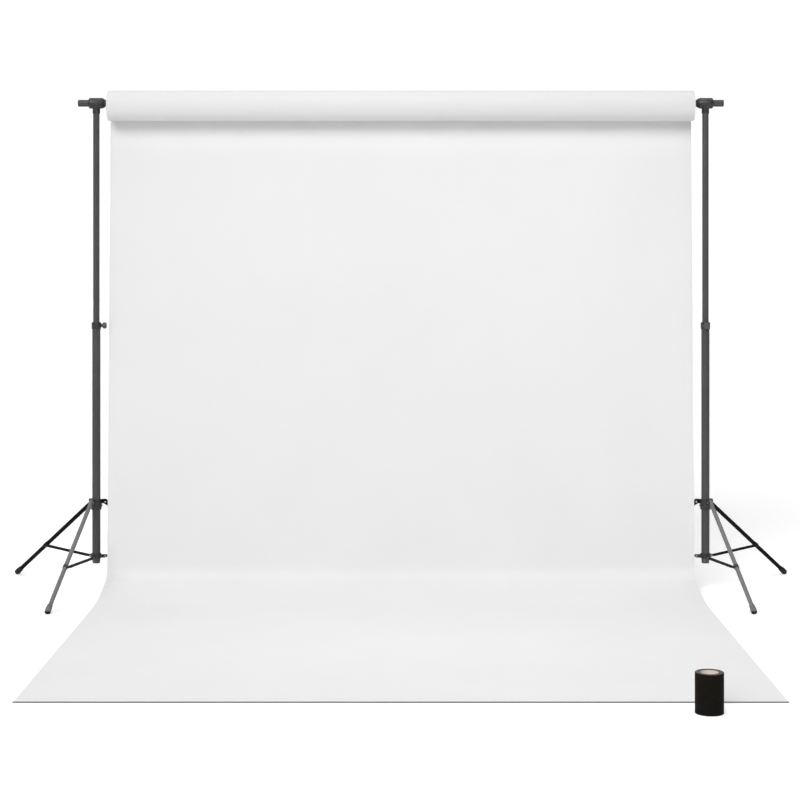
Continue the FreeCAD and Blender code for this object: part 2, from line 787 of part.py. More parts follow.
def star_knob(name, sizes):
    """A knob turned with its screw, with finger notches round the grip."""
    screw = dim("knob_screw_radius")
    grip = sizes.grip_radius
    body = turned(name, [
        (0, sizes.screw_start), (screw, sizes.screw_start), (screw, sizes.neck_start),
        (sizes.neck_radius, sizes.neck_start), (sizes.neck_radius, sizes.grip_start),
        (grip - sizes.edge, sizes.grip_start), (grip, sizes.grip_start + sizes.edge),
        (grip, sizes.grip_end - sizes.edge), (grip - sizes.edge, sizes.grip_end),
        (0, sizes.grip_end)])
    sketch = new_sketch(body, f"{name}_notch_outline", "XY_Plane")
    add_circle(sketch, grip + sizes.notch_radius / 2, 0, sizes.notch_radius)
    notch = body.newObject("PartDesign::Pocket", f"{name}_notch")
    notch.Profile = sketch
    notch.Type = "Length"
    notch.Reversed = True
    bind(notch, "Length", sizes.grip_end * 2)
    ring = body.newObject("PartDesign::PolarPattern", f"{name}_notches")
    ring.Originals = [notch]
    ring.Axis = (sketch, ["N_Axis"])
    ring.Angle = FULL_TURN
    ring.Occurrences = sizes.notches
    body.Tip = ring
    return body


def pad(body, sketch, name, length):
    """Pad a sketch of the XZ plane towards the body's own +Y."""
    item = body.newObject("PartDesign::Pad", name)
    item.Profile = sketch
    item.Reversed = True
    bind(item, "Length", length)
    return item


def rivet_head_outline(low):
    """The outline of a low domed rivet head that starts at a height."""
    radius, height = dim("rivet_head_radius"), dim("rivet_head_height")
    return [(0, low), (radius, low), (radius, low + height / 3),
            (radius * 0.8, low + height * 0.8), (radius * 0.4, low + height), (0, low + height)]


def rivet(name, length):
    """A rivet along Z with a domed head at each end of its shank."""
    radius, height, shank = dim("rivet_head_radius"), dim("rivet_head_height"), dim("rivet_radius")
    upper = rivet_head_outline(length)[1:]
    lower = [(0, -height), (radius * 0.4, -height), (radius * 0.8, -height * 0.8),
             (radius, -height / 3), (radius, 0)]
    return turned(name, lower + [(shank, 0), (shank, length)] + upper)


# ---------------------------------------------------------------- crossbar
def along_bar(x, z):
    """A placement whose own Z axis runs along the crossbar."""
    return Placement(Vector(x, num("stand_y"), z), Rotation(Vector(0, 0, 1), Vector(1, 0, 0)))


def bar_section(number):
    """One crossbar section: a tube, with a spigot for the next section at its right end."""
    outer = dim("bar_radius")
    inner = outer - dim("bar_wall")
    chamfer = dim("bar_end_chamfer")
    depth = dim("bar_groove_depth")
    start, width = dim("bar_groove_start"), dim("bar_groove_width")
    end = dim("bar_section")
    left_end = [(inner, 0), (outer, 0)]
    right_end = [(outer, end), (inner, end)]
    if number == 1:
        left_end = [(inner, 0), (outer - chamfer, 0), (outer, chamfer), (outer, start),
                    (outer - depth, start), (outer - depth, start + width),
                    (outer, start + width)]
    if number == BAR_SECTIONS:
        right_end = [(outer, end - start - width), (outer - depth, end - start - width),
                     (outer - depth, end - start), (outer, end - start),
                     (outer, end - chamfer), (outer - chamfer, end), (inner, end)]
    else:
        spigot = inner - dim("running_fit")
        bore = spigot - dim("bar_wall")
        tip = end + dim("bar_spigot")
        plug = end - dim("bar_spigot")
        right_end = [(outer, end), (spigot, end), (spigot, tip), (bore, tip), (bore, plug),
                     (inner, plug)]
    item = turned(f"crossbar_section_{number}", left_end + right_end)
    first = -BAR_SECTIONS / 2 * num("bar_section")
    place = along_bar(first + (number - 1) * num("bar_section"), num("bar_z"))
    register(f"crossbar_section_{number}", item, place)


# ---------------------------------------------------------------- paper
def roll_height():
    """The height of the roll's axis: its core hangs on the crossbar."""
    return num("bar_z") - (num("core_inner") - num("bar_radius") - num("roll_bar_gap"))


def paper_core():
    """The cardboard core that the paper is wound on."""
    half = dim("paper_width") / 2 + dim("core_overhang")
    item = tube("paper_core", dim("core_outer"), dim("core_inner"), -half, half)
    register("paper_core", item, along_bar(0, roll_height()))


def paper_roll():
    """The wound paper, as one closed roll."""
    half = dim("paper_width") / 2
    item = tube("paper_roll", dim("roll_radius"), dim("core_outer") + dim("running_fit"),
                -half, half)
    register("paper_roll", item, along_bar(0, roll_height()))


class SheetPath:
    """The side view of the sheet: floor, long sweep, tight bend, then the leaning drop.

    Places are (distance behind the stand line, height), and the path is the sheet's back face.
    """

    def __init__(self):
        self.lean = math.radians(num("sheet_lean"))
        self.steep = math.pi / 2 - self.lean
        self.shallow = math.radians(num("sweep_angle"))
        self.bend = num("bend_radius")
        self.sweep = num("sweep_radius")
        back = num("roll_radius") + num("side_gap") + num("paper_thickness")
        out_y = back * math.cos(self.lean)
        out_z = roll_height() - back * math.sin(self.lean)
        self.top = (out_y, out_z)
        bend_y = (self.sweep - self.bend) * math.sin(self.shallow)
        bend_z = self.sweep - (self.sweep - self.bend) * math.cos(self.shallow)
        self.drop_start_z = bend_z - self.bend * math.cos(self.steep)
        drop_y = out_y - (out_z - self.drop_start_z) * math.tan(self.lean)
        self.floor_end = drop_y - self.bend * math.sin(self.steep) - bend_y
        self.bend_centre = (self.floor_end + bend_y, bend_z)
        self.sweep_centre = (self.floor_end, self.sweep)
        self.drop_start = (drop_y, self.drop_start_z)
        self.drop_length = (out_z - self.drop_start_z) / math.cos(self.lean)

    def on_arc(self, centre, radius, angle):
        """A point of an arc whose slope is the angle."""
        return Vector(centre[0] + radius * math.sin(angle), centre[1] - radius * math.cos(angle), 0)

    def arc(self, centre, radius, low, high):
        """An arc through its two ends and its middle."""
        middle = self.on_arc(centre, radius, (low + high) / 2)
        return Part.Arc(self.on_arc(centre, radius, low), middle,
                        self.on_arc(centre, radius, high))


def paper_sweep(path):
    """The lower sheet: the tight bend, the long sweep and the part that lies on the floor."""
    thick = num("paper_thickness")
    front = -num("sheet_reach")
    body = doc.addObject("PartDesign::Body", "paper_sweep")
    sketch = new_sketch(body, "paper_sweep_outline", "YZ_Plane")
    sweep, bend = path.sweep_centre, path.bend_centre
    under_sweep = path.arc(sweep, path.sweep, 0, path.shallow)
    under_bend = path.arc(bend, path.bend, path.shallow, path.steep)
    over_bend = path.arc(bend, path.bend - thick, path.shallow, path.steep)
    over_sweep = path.arc(sweep, path.sweep - thick, 0, path.shallow)
    floor_under = Part.LineSegment(Vector(front, 0, 0), Vector(sweep[0], 0, 0))
    floor_over = Part.LineSegment(Vector(sweep[0], thick, 0), Vector(front, thick, 0))
    upper_end = Part.LineSegment(path.on_arc(bend, path.bend, path.steep),
                                 path.on_arc(bend, path.bend - thick, path.steep))
    front_end = Part.LineSegment(Vector(front, thick, 0), Vector(front, 0, 0))
    outline = (floor_under, under_sweep, under_bend, upper_end, over_bend, over_sweep,
               floor_over, front_end)
    ids = [sketch.addGeometry(piece, False) for piece in outline]
    radii = ((1, dim("sweep_radius")), (2, dim("bend_radius")),
             (4, dim("bend_radius") - dim("paper_thickness")),
             (5, dim("sweep_radius") - dim("paper_thickness")))
    for index, size in radii:
        number = sketch.addConstraint(Sketcher.Constraint("Radius", ids[index], size.value))
        sketch.setExpression(f"Constraints[{number}]", size.text)
    sheet_pad = body.newObject("PartDesign::Pad", "paper_sweep_pad")
    sheet_pad.Profile = sketch
    bind(sheet_pad, "Length", dim("paper_width"))
    body.Tip = sheet_pad
    register("paper_sweep", body, upright(-num("paper_width") / 2, num("stand_y")))


def paper_drop(path):
    """The upper sheet, one flat leaning stretch from the bend up to the back of the roll."""
    item = box("paper_drop", dim("paper_width"), dim("paper_thickness"),
               Size.of(path.drop_length))
    turn = Rotation(Vector(1, 0, 0), -num("sheet_lean"))
    corner = Vector(-num("paper_width") / 2, num("stand_y") + path.drop_start[0],
                    path.drop_start[1])
    inwards = turn.multVec(Vector(0, -num("paper_thickness"), 0))
    register("paper_drop", item, Placement(corner + inwards, turn))


# ---------------------------------------------------------------- floor tape
def tape():
    """A wide roll of floor tape on its cardboard core, standing on end."""
    place = upright(num("tape_x"), num("stand_y") - num("tape_y"))
    outer, edge = dim("tape_radius"), dim("tape_edge")
    inner = dim("tape_core_outer") + dim("running_fit")
    high = dim("tape_height")
    roll = turned("tape_roll", [
        (inner, 0), (outer - edge, 0), (outer, edge), (outer, high - edge),
        (outer - edge, high), (inner, high)])
    register("tape_roll", roll, place)
    core = tube("tape_core", dim("tape_core_outer"), dim("tape_core_inner"), 0, high)
    register("tape_core", core, place)


for stand_side in HANDS:
    Stand(stand_side).build()
for section_number in range(1, BAR_SECTIONS + 1):
    bar_section(section_number)
paper_core()
paper_roll()
sheet_path = SheetPath()
paper_drop(sheet_path)
paper_sweep(sheet_path)
tape()
doc.recompute()

faults = [item.Label for item in doc.Objects if {"Invalid", "Error"} & set(item.State)]
faults += [name for name, item in nodes.items() if item.Shape.isNull() or not item.Shape.isValid()]
if faults:
    raise RuntimeError("these did not build: " + ", ".join(faults))

os.makedirs("parts", exist_ok=True)
whole = FreeCAD.BoundBox()
for name, item in nodes.items():
    item.Shape.exportStep(f"parts/{name}.step")
    whole.add(item.Shape.BoundBox)
print(len(nodes), "nodes, box", whole)
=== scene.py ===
"""Looks of a background support system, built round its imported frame.

Two folding stands carry a crossbar, a roll of white paper hangs on the bar, its sheet sweeps
down onto the floor, and a roll of floor tape stands in front. Lengths are in metres, +Z is up,
+X runs along the crossbar and -Y is the side that the subject stands on.
"""

import json
import logging
import math
from collections.abc import Callable, Sequence
from dataclasses import dataclass, field
from enum import Enum

import bmesh
import bpy
from mathutils import Matrix, Vector

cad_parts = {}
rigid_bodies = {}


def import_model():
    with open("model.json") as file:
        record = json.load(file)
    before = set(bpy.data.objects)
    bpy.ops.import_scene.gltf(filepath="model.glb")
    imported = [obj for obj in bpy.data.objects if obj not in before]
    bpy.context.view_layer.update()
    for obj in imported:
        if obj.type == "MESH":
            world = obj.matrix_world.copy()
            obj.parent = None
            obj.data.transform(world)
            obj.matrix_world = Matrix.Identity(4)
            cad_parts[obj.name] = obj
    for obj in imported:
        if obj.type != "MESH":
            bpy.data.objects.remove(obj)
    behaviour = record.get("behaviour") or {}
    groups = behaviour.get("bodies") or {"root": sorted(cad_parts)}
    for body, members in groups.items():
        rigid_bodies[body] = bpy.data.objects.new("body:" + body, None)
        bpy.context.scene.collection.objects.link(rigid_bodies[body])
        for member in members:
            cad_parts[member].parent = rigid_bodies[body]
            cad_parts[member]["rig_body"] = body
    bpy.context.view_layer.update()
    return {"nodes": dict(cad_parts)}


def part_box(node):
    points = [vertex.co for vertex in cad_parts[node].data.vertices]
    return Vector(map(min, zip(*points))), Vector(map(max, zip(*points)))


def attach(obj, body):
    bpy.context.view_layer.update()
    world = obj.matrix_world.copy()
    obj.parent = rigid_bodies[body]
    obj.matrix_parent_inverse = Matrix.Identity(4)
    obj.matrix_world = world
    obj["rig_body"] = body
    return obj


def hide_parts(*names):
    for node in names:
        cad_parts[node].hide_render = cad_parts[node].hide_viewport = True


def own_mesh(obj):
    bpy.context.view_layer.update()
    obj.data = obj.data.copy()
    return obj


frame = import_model()

LOG = logging.getLogger("background_support")
Colour = tuple[float, float, float, float]
Profile = Sequence[tuple[float, float]]
Socket = bpy.types.NodeSocket


class Slot(Enum):
    """The record's material slots."""

    TUBE_PAINT = "tube_paint"
    BRACE_STEEL = "brace_steel"
    CAST_BLACK = "cast_black"
    RIVET_STEEL = "rivet_steel"
    BLACK_PLASTIC = "black_plastic"
    FOOT_RUBBER = "foot_rubber"
    WHITE_PAPER = "white_paper"
    CARDBOARD = "cardboard"
    BLACK_TAPE = "black_tape"


class Side(Enum):
    """The two stands, each with the sign that its pieces are mirrored by."""

    LEFT = 1
    RIGHT = -1

    @property
    def word(self) -> str:
        """The side's word in node and body names."""
        return self.name.lower()


class Leg(Enum):
    """A stand's legs, each with its azimuth in degrees on the left stand."""

    FRONT = 260.0
    OUTER = 140.0
    INNER = 20.0

    @property
    def word(self) -> str:
        """The leg's word in node and body names."""
        return self.name.lower()


class Streak(Enum):
    """The way that the fine scuffs of a finish run, as scales along X, Y and Z."""

    NONE = (1.0, 1.0, 1.0)
    UPRIGHT = (1.0, 1.0, 0.02)
    ALONG_BAR = (0.02, 1.0, 1.0)


# ------------------------------------------------------------------------------ node trees
class Wiring:
    """A node tree with short calls for adding and wiring its nodes."""

    def __init__(self, tree: bpy.types.NodeTree) -> None:
        """Take up a tree.

        Args:
            tree: The tree whose nodes are added and wired.
        """
        self.tree = tree

    def add(self, kind: str, **settings: object) -> bpy.types.Node:
        """Add a node.

        Args:
            kind: The node's type.
            settings: Properties of the node.

        Returns:
            The node.
        """
        node = self.tree.nodes.new(kind)
        for key, value in settings.items():
            setattr(node, key, value)
        return node

    def wire(self, source: Socket, target: Socket) -> None:
        """Wire one socket to another."""
        self.tree.links.new(source, target)


class Board(Wiring):
    """A material's node tree, with one principled shader."""

    def __init__(self, name: str) -> None:
        """Start the material.

        Args:
            name: The material's name.
        """
        self.material = bpy.data.materials.new(name)
        self.material.use_nodes = True
        super().__init__(self.material.node_tree)
        self.tree.nodes.clear()
        output = self.add("ShaderNodeOutputMaterial")
        self.shader = self.add("ShaderNodeBsdfPrincipled")
        self.wire(self.shader.outputs["BSDF"], output.inputs["Surface"])
        self.places = self.add("ShaderNodeTexCoord").outputs

    def feed(self, target: Socket, value: Socket | float | Sequence[float]) -> None:
        """Give a socket a wire or a plain value.

        Args:
            target: The socket to feed.
            value: Another node's output, or a number or a colour.
        """
        if isinstance(value, bpy.types.NodeSocket):
            self.wire(value, target)
        else:
            target.default_value = value

    def stretched(self, scale: Sequence[float], offset: Sequence[float] = (0, 0, 0)) -> Socket:
        """Object coordinates, moved and then scaled along the three axes.

        Args:
            scale: The scale along each axis.
            offset: The move, made after the scaling.

        Returns:
            The vector output.
        """
        node = self.add("ShaderNodeMapping")
        self.wire(self.places["Object"], node.inputs["Vector"])
        node.inputs["Scale"].default_value = scale
        node.inputs["Location"].default_value = offset
        return node.outputs["Vector"]

    def noise(self, vector: Socket, scale: float, detail: float = 2.0) -> Socket:
        """Fractal noise.

        Args:
            vector: Where the noise is read.
            scale: Features per metre, roughly.
            detail: How many finer layers it has.

        Returns:
            The value output, from 0 to 1.
        """
        node = self.add("ShaderNodeTexNoise")
        self.wire(vector, node.inputs["Vector"])
        node.inputs["Scale"].default_value = scale
        node.inputs["Detail"].default_value = detail
        return node.outputs["Fac"]

    def spread(self, value: Socket, source: tuple[float, float],
               target: tuple[float, float] = (0.0, 1.0)) -> Socket:
        """Map a value from one range to another, held inside it.

        Args:
            value: The value to map.
            source: The range that it has.
            target: The range that it gets.

        Returns:
            The mapped value.
        """
        node = self.add("ShaderNodeMapRange")
        self.wire(value, node.inputs["Value"])
        for key, number in zip(("From Min", "From Max", "To Min", "To Max"), source + target):
            node.inputs[key].default_value = number
        return node.outputs["Result"]

    def maths(self, operation: str, *values: Socket | float) -> Socket:
        """Work out a sum.

        Args:
            operation: The math node's operation.
            values: Its operands, wires or numbers.

        Returns:
            The value output.
        """
        node = self.add("ShaderNodeMath", operation=operation)
        for socket, value in zip(node.inputs, values):
            self.feed(socket, value)
        return node.outputs["Value"]

    def mix(self, share: Socket | float, first: Socket | Colour,
            second: Socket | Colour) -> Socket:
        """Blend two colours.

        Args:
            share: The second colour's share.
            first: One colour.
            second: The other colour.

        Returns:
            The colour output.
        """
        node = self.add("ShaderNodeMix", data_type="RGBA")
        self.feed(node.inputs["Factor"], share)
        self.feed(node.inputs[6], first)
        self.feed(node.inputs[7], second)
        return node.outputs[2]

    def bump(self, height: Socket, depth: float, below: Socket | None = None) -> Socket:
        """Turn a height into a normal.

        Args:
            height: The height, from 0 to 1.
            depth: How deep a height of 1 is, in metres.
            below: The normal of a coarser relief that this one lies on.

        Returns:
            The normal output.
        """
        node = self.add("ShaderNodeBump")
        node.inputs["Distance"].default_value = depth
        self.wire(height, node.inputs["Height"])
        if below is not None:
            self.wire(below, node.inputs["Normal"])
        return node.outputs["Normal"]


# -------------------------------------------------------------------------------- finishes
BLOTCH_EDGE = (0.35, 0.65)
POLISH_EDGE = (0.3, 0.7)
POLISH_SCALE = 12
SCUFF_MARKS, SCUFF_EDGE = 260.0, (0.60, 0.78)
WORN_PATCHES, WORN_EDGE, WORN_SHARE = 5.0, (0.45, 0.7), (0.1, 1.0)
SCUFF_DULLING = 0.35
BOARD_ROUGHNESS = (0.75, 0.9)


def grey(level: float, warmth: float = 0.0) -> Colour:
    """A grey of that linear level, a little warm or cold."""
    return (level * (1 + warmth), level, level * (1 - warmth), 1.0)


@dataclass(frozen=True)
class Finish:
    """A surface with grain, blotches and scuffs.

    Args:
        name: The material's name.
        slot: The record's slot that it stands for; not used.
        base: The main colour.
        blotch: The colour that it drifts to.
        roughness: The least and the greatest roughness.
        metallic: 1 for bare metal.
        specular: The shader's specular level.
        blotch_scale: Blotches per metre.
        grain_scale: Grains per metre.
        grain_depth: The depth of the grain in metres.
        streak: The way that scuffs run.
        scuff: The colour of a scuff.
        scuff_share: How strong the scuffs are.
    """

    name: str
    slot: Slot
    base: Colour
    blotch: Colour
    roughness: tuple[float, float]
    metallic: float = 0.0
    specular: float = 0.5
    blotch_scale: float = 9.0
    grain_scale: float = 900.0
    grain_depth: float = 0.00002
    streak: Streak = Streak.NONE
    scuff: Colour = (0.3, 0.3, 0.3, 1.0)
    scuff_share: float = 0.0

    def material(self) -> bpy.types.Material:
        """Build the material.

        Returns:
            The finished material.
        """
        board = Board(self.name)
        board.shader.inputs["Metallic"].default_value = self.metallic
        board.shader.inputs["Specular IOR Level"].default_value = self.specular
        drift = board.noise(board.places["Object"], self.blotch_scale, 4.0)
        colour = board.mix(board.spread(drift, BLOTCH_EDGE), self.base, self.blotch)
        grain = board.noise(board.places["Object"], self.grain_scale, 3.0)
        polish = board.noise(board.places["Object"], self.blotch_scale * POLISH_SCALE, 3.0)
        rough = board.spread(polish, POLISH_EDGE, self.roughness)
        colour, rough = self.scuffed(board, colour, rough)
        colour, height, depth = self.pattern(board, colour, grain)
        board.wire(colour, board.shader.inputs["Base Color"])
        board.wire(rough, board.shader.inputs["Roughness"])
        board.wire(board.bump(height, depth), board.shader.inputs["Normal"])
        return board.material

    def scuffed(self, board: Board, colour: Socket, rough: Socket) -> tuple[Socket, Socket]:
        """Lay fine scuffs over a colour and a roughness.

        Args:
            board: The material's board.
            colour: The colour so far.
            rough: The roughness so far.

        Returns:
            The colour and the roughness with the scuffs.
        """
        if not self.scuff_share:
            return colour, rough
        way = board.stretched(self.streak.value)
        marks = board.spread(board.noise(way, SCUFF_MARKS, 6.0), SCUFF_EDGE)
        where = board.spread(board.noise(board.places["Object"], WORN_PATCHES), WORN_EDGE,
                             WORN_SHARE)
        share = board.maths("MULTIPLY", board.maths("MULTIPLY", marks, where), self.scuff_share)
        duller = board.maths("MULTIPLY_ADD", share, SCUFF_DULLING, rough)
        return board.mix(share, colour, self.scuff), duller

    def pattern(self, board: Board, colour: Socket,
                grain: Socket) -> tuple[Socket, Socket, float]:
        """The relief of the finish, which the patterned finishes replace.

        Args:
            board: The material's board.
            colour: The colour so far.
            grain: The fine grain's height.

        Returns:
            The colour, the relief's height and its depth in metres.
        """
        del board
        return colour, grain, self.grain_depth


@dataclass(frozen=True)
class PaperFinish(Finish):
    """Matt wood-free paper, with fibres that are just seen close up.

    Args:
        fibre_size: A fibre's scale against a grain's.
        fleck: How strongly a fibre shows in the colour.
    """

    fibre_size: float = 0.8
    fleck: float = 0.35

    def pattern(self, board: Board, colour: Socket,
                grain: Socket) -> tuple[Socket, Socket, float]:
        """Lay fibres of two directions over the grain.

        Args:
            board: The material's board.
            colour: The colour so far.
            grain: The fine grain's height.

        Returns:
            The colour, the relief's height and its depth in metres.
        """
        scale = self.grain_scale * self.fibre_size
        across = board.noise(board.stretched((0.12, 1.0, 1.0)), scale)
        along = board.noise(board.stretched((1.0, 0.3, 0.12)), scale)
        fibre = board.maths("ADD", across, along)
        height = board.maths("MULTIPLY_ADD", grain, 0.5, fibre)
        share = board.maths("MULTIPLY", board.spread(fibre, (0.8, 1.2)), self.fleck)
        return board.mix(share, colour, self.scuff), height, self.grain_depth


@dataclass(frozen=True)
class TippedFinish(Finish):
    """Painted-light rubber, with a dark tip of its own colour up to a height above the floor.

    Args:
        tip: The height that the tip reaches.
        fade: The height over which its edge fades.
    """

    tip: float = 0.013
    fade: float = 0.002

    def pattern(self, board: Board, colour: Socket,
                grain: Socket) -> tuple[Socket, Socket, float]:
        """Darken the tip to the rubber's own colour; the rest keeps its painted light.

        Args:
            board: The material's board.
            colour: The colour so far.
            grain: The fine grain's height.

        Returns:
            The colour, the relief's height and its depth in metres.
        """
        split = board.add("ShaderNodeSeparateXYZ")
        board.wire(board.places["Object"], split.inputs["Vector"])
        share = board.spread(split.outputs["Z"], (self.tip, self.tip + self.fade))
        return board.mix(share, self.scuff, colour), grain, self.grain_depth


@dataclass(frozen=True)
class WovenFinish(Finish):
    """Coated cloth tape: a plain weave that shows through its coating.

    Args:
        threads: Threads per metre, along the piece's own UV map.
    """

    threads: float = 1100.0

    def pattern(self, board: Board, colour: Socket,
                grain: Socket) -> tuple[Socket, Socket, float]:
        """Weave threads over the grain.

        Args:
            board: The material's board.
            colour: The colour so far.
            grain: The fine grain's height.

        Returns:
            The colour, the relief's height and its depth in metres.
        """
        split = board.add("ShaderNodeSeparateXYZ")
        board.wire(board.places["UV"], split.inputs["Vector"])
        turns = math.tau * self.threads / 2
        waves = [board.maths("SINE", board.maths("MULTIPLY", split.outputs[axis], turns))
                 for axis in ("X", "Y")]
        weave = board.maths("MULTIPLY", waves[0], waves[1])
        height = board.maths("MULTIPLY_ADD", grain, 0.6, board.maths("MULTIPLY", weave, 0.5))
        tone = board.spread(weave, (-1.0, 1.0), (0.0, 0.35))
        return board.mix(tone, colour, self.scuff), height, self.grain_depth


@dataclass(frozen=True)
class WoundFinish(Finish):
    """The end of a wound roll, ringed by the edges of its layers.

    Args:
        centre: A point on the roll's axis.
        along: The roll's axis as scales that leave it out of the distance.
        pitch: The thickness of one layer in metres.
    """

    centre: tuple[float, float, float] = (0.0, 0.0, 0.0)
    along: tuple[float, float, float] = (0.0, 1.0, 1.0)
    pitch: float = 0.0011

    def pattern(self, board: Board, colour: Socket,
                grain: Socket) -> tuple[Socket, Socket, float]:
        """Ring the face by its distance from the axis.

        Args:
            board: The material's board.
            colour: The colour so far.
            grain: The fine grain's height.

        Returns:
            The colour, the relief's height and its depth in metres.
        """
        offset = [-place * share for place, share in zip(self.centre, self.along)]
        reach = board.add("ShaderNodeVectorMath", operation="LENGTH")
        board.wire(board.stretched(self.along, offset), reach.inputs[0])
        wobble = board.maths("MULTIPLY_ADD", grain, self.pitch * 0.6, reach.outputs["Value"])
        rings = board.maths("SINE", board.maths("MULTIPLY", wobble, math.tau / self.pitch))
        height = board.maths("MULTIPLY_ADD", grain, 0.5, board.maths("MULTIPLY", rings, 0.5))
        tone = board.spread(rings, (-1.0, 1.0), (0.0, 0.8))
        return board.mix(tone, colour, self.scuff), height, self.grain_depth


@dataclass(frozen=True)
class CoreFinish(Finish):
    """A spiral-wound cardboard tube, with the seams of its plies.

    Args:
        centre: A point on the tube's axis.
        upright: Whether the tube stands, where otherwise it lies along X.
        seam_pitch: The way that a seam climbs in one turn, in metres.
        rim: How far along the axis the bare brown end lies, where there is one.
        bare: The colour of that end.
        rim_fade: The depths below the rim between which the bare colour starts.
    """

    centre: tuple[float, float, float] = (0.0, 0.0, 0.0)
    upright: bool = False
    seam_pitch: float = 0.09
    rim: float | None = None
    bare: Colour = (0.16, 0.085, 0.055, 1.0)
    rim_fade: tuple[float, float] = (0.0012, 0.0004)

    def pattern(self, board: Board, colour: Socket,
                grain: Socket) -> tuple[Socket, Socket, float]:
        """Wind the seams round the tube.

        Args:
            board: The material's board.
            colour: The colour so far.
            grain: The fine grain's height.

        Returns:
            The colour, the relief's height and its depth in metres.
        """
        split = board.add("ShaderNodeSeparateXYZ")
        offset = [-place for place in self.centre]
        board.wire(board.stretched((1, 1, 1), offset), split.inputs["Vector"])
        across, up, along = ("X", "Y", "Z") if self.upright else ("Y", "Z", "X")
        angle = board.maths("ARCTAN2", split.outputs[up], split.outputs[across])
        turns = board.maths("DIVIDE", angle, math.tau)
        climb = board.maths("DIVIDE", split.outputs[along], self.seam_pitch)
        phase = board.maths("FRACT", board.maths("ADD", climb, turns))
        seam = board.spread(phase, (0.0, 0.03))
        height = board.maths("MULTIPLY_ADD", grain, 0.4, seam)
        tone = board.mix(board.maths("ADD", board.maths("MULTIPLY", seam, 0.4), 0.6),
                         self.scuff, colour)
        if self.rim is not None:
            start, end = (self.rim - depth for depth in self.rim_fade)
            tone = board.mix(board.spread(split.outputs[along], (start, end)), tone, self.bare)
        return tone, height, self.grain_depth


# ---------------------------------------------------------------------------- mesh helpers
POLE_RADIUS = 1e-7
SEAM_RUN = 0.001
FLAT_DEGREES, SHARP_DEGREES = 0.4, 30.0


def turned(profile: Profile, segments: int, closed: bool = False,
           radius_at: Callable[[float, float, float], float] | None = None) -> bmesh.types.BMesh:
    """Turn a profile about the Z axis, with a UV map in metres round and along it.

    Args:
        profile: The (radius, height) points, from one pole to the other or round a ring.
        segments: How many steps make the full turn.
        closed: Whether the last point joins the first.
        radius_at: Gives the radius from (radius, height, angle), where it isn't plain.

    Returns:
        The mesh, with its faces pointing outwards.
    """
    shape = bmesh.new()
    layer = shape.loops.layers.uv.new("UVMap")
    rings = []
    for radius, height in profile:
        if radius < POLE_RADIUS:
            rings.append([shape.verts.new((0, 0, height))] * segments)
            continue
        ring = []
        for step in range(segments):
            angle = math.tau * step / segments
            reach = radius_at(radius, height, angle) if radius_at else radius
            ring.append(shape.verts.new((reach * math.cos(angle), reach * math.sin(angle),
                                         height)))
        rings.append(ring)
    runs = [0.0]
    for (radius, height), (next_radius, next_height) in zip(profile, list(profile)[1:]):
        runs.append(runs[-1] + math.hypot(next_radius - radius, next_height - height))
    widest = max(radius for radius, _ in profile)
    count = len(rings)
    for index in range(count if closed else count - 1):
        lower, upper = rings[index], rings[(index + 1) % count]
        low_run = runs[index]
        high_run = runs[index + 1] if index + 1 < count else low_run + SEAM_RUN
        for step in range(segments):
            after = (step + 1) % segments
            corners = [(lower[step], step, low_run), (lower[after], step + 1, low_run),
                       (upper[after], step + 1, high_run), (upper[step], step, high_run)]
            kept = [corner for place, corner in enumerate(corners)
                    if corner[0] is not corners[place - 1][0]]
            if len(kept) < 3:
                continue
            face = shape.faces.new([vert for vert, _, _ in kept])
            for loop, (_, turn, run) in zip(face.loops, kept):
                loop[layer].uv = (math.tau * widest * turn / segments, run)
    bmesh.ops.recalc_face_normals(shape, faces=shape.faces)
    return shape


def rounded(profile: Profile, radius: float, corners: Sequence[int], steps: int = 3) -> Profile:
    """Round some corners of a profile.

    Args:
        profile: The (radius, height) points.
        radius: The distance from the corner at which the rounding starts.
        corners: The indices of the corners to round.
        steps: How many pieces each rounding has.

    Returns:
        The profile with its corners rounded.
    """
    points = [Vector(point) for point in profile]
    result = []
    for index, point in enumerate(points):
        if index not in corners:
            result.append(tuple(point))
            continue
        before = points[index - 1]
        after = points[(index + 1) % len(points)]
        start = point + (before - point).normalized() * min(radius, (before - point).length / 2)
        end = point + (after - point).normalized() * min(radius, (after - point).length / 2)
        for step in range(steps + 1):
            share = step / steps
            bend = start.lerp(point, share).lerp(point.lerp(end, share), share)
            result.append(tuple(bend))
    return result


def pointing(origin: Vector, direction: Vector) -> Matrix:
    """A place whose own Z axis lies along a direction.

    Args:
        origin: Where the place is.
        direction: Where its Z axis points.

    Returns:
        The place's matrix.
    """
    turn = direction.to_track_quat("Z", "Y").to_matrix().to_4x4()
    return Matrix.Translation(origin) @ turn


def smoothed(mesh: bpy.types.Mesh, angle: float = 35.0) -> None:
    """Shade a mesh smooth, with sharp edges above an angle in degrees."""
    mesh.polygons.foreach_set("use_smooth", [True] * len(mesh.polygons))
    mesh.set_sharp_from_angle(angle=math.radians(angle))


def solid(name: str, shape: bmesh.types.BMesh, place: Matrix | None = None,
          angle: float = 35.0) -> bpy.types.Object:
    """Make an object from a mesh that is being built, and put it in its place.

    Args:
        name: The object's name.
        shape: The mesh, which is freed.
        place: Where it goes; its points are moved and the object stays at the origin.
        angle: The angle in degrees above which an edge stays sharp.

    Returns:
        The object.
    """
    if place is not None:
        bmesh.ops.transform(shape, matrix=place, verts=shape.verts)
    mesh = bpy.data.meshes.new(name)
    shape.to_mesh(mesh)
    shape.free()
    smoothed(mesh, angle)
    item = bpy.data.objects.new(name, mesh)
    bpy.context.scene.collection.objects.link(item)
    return item


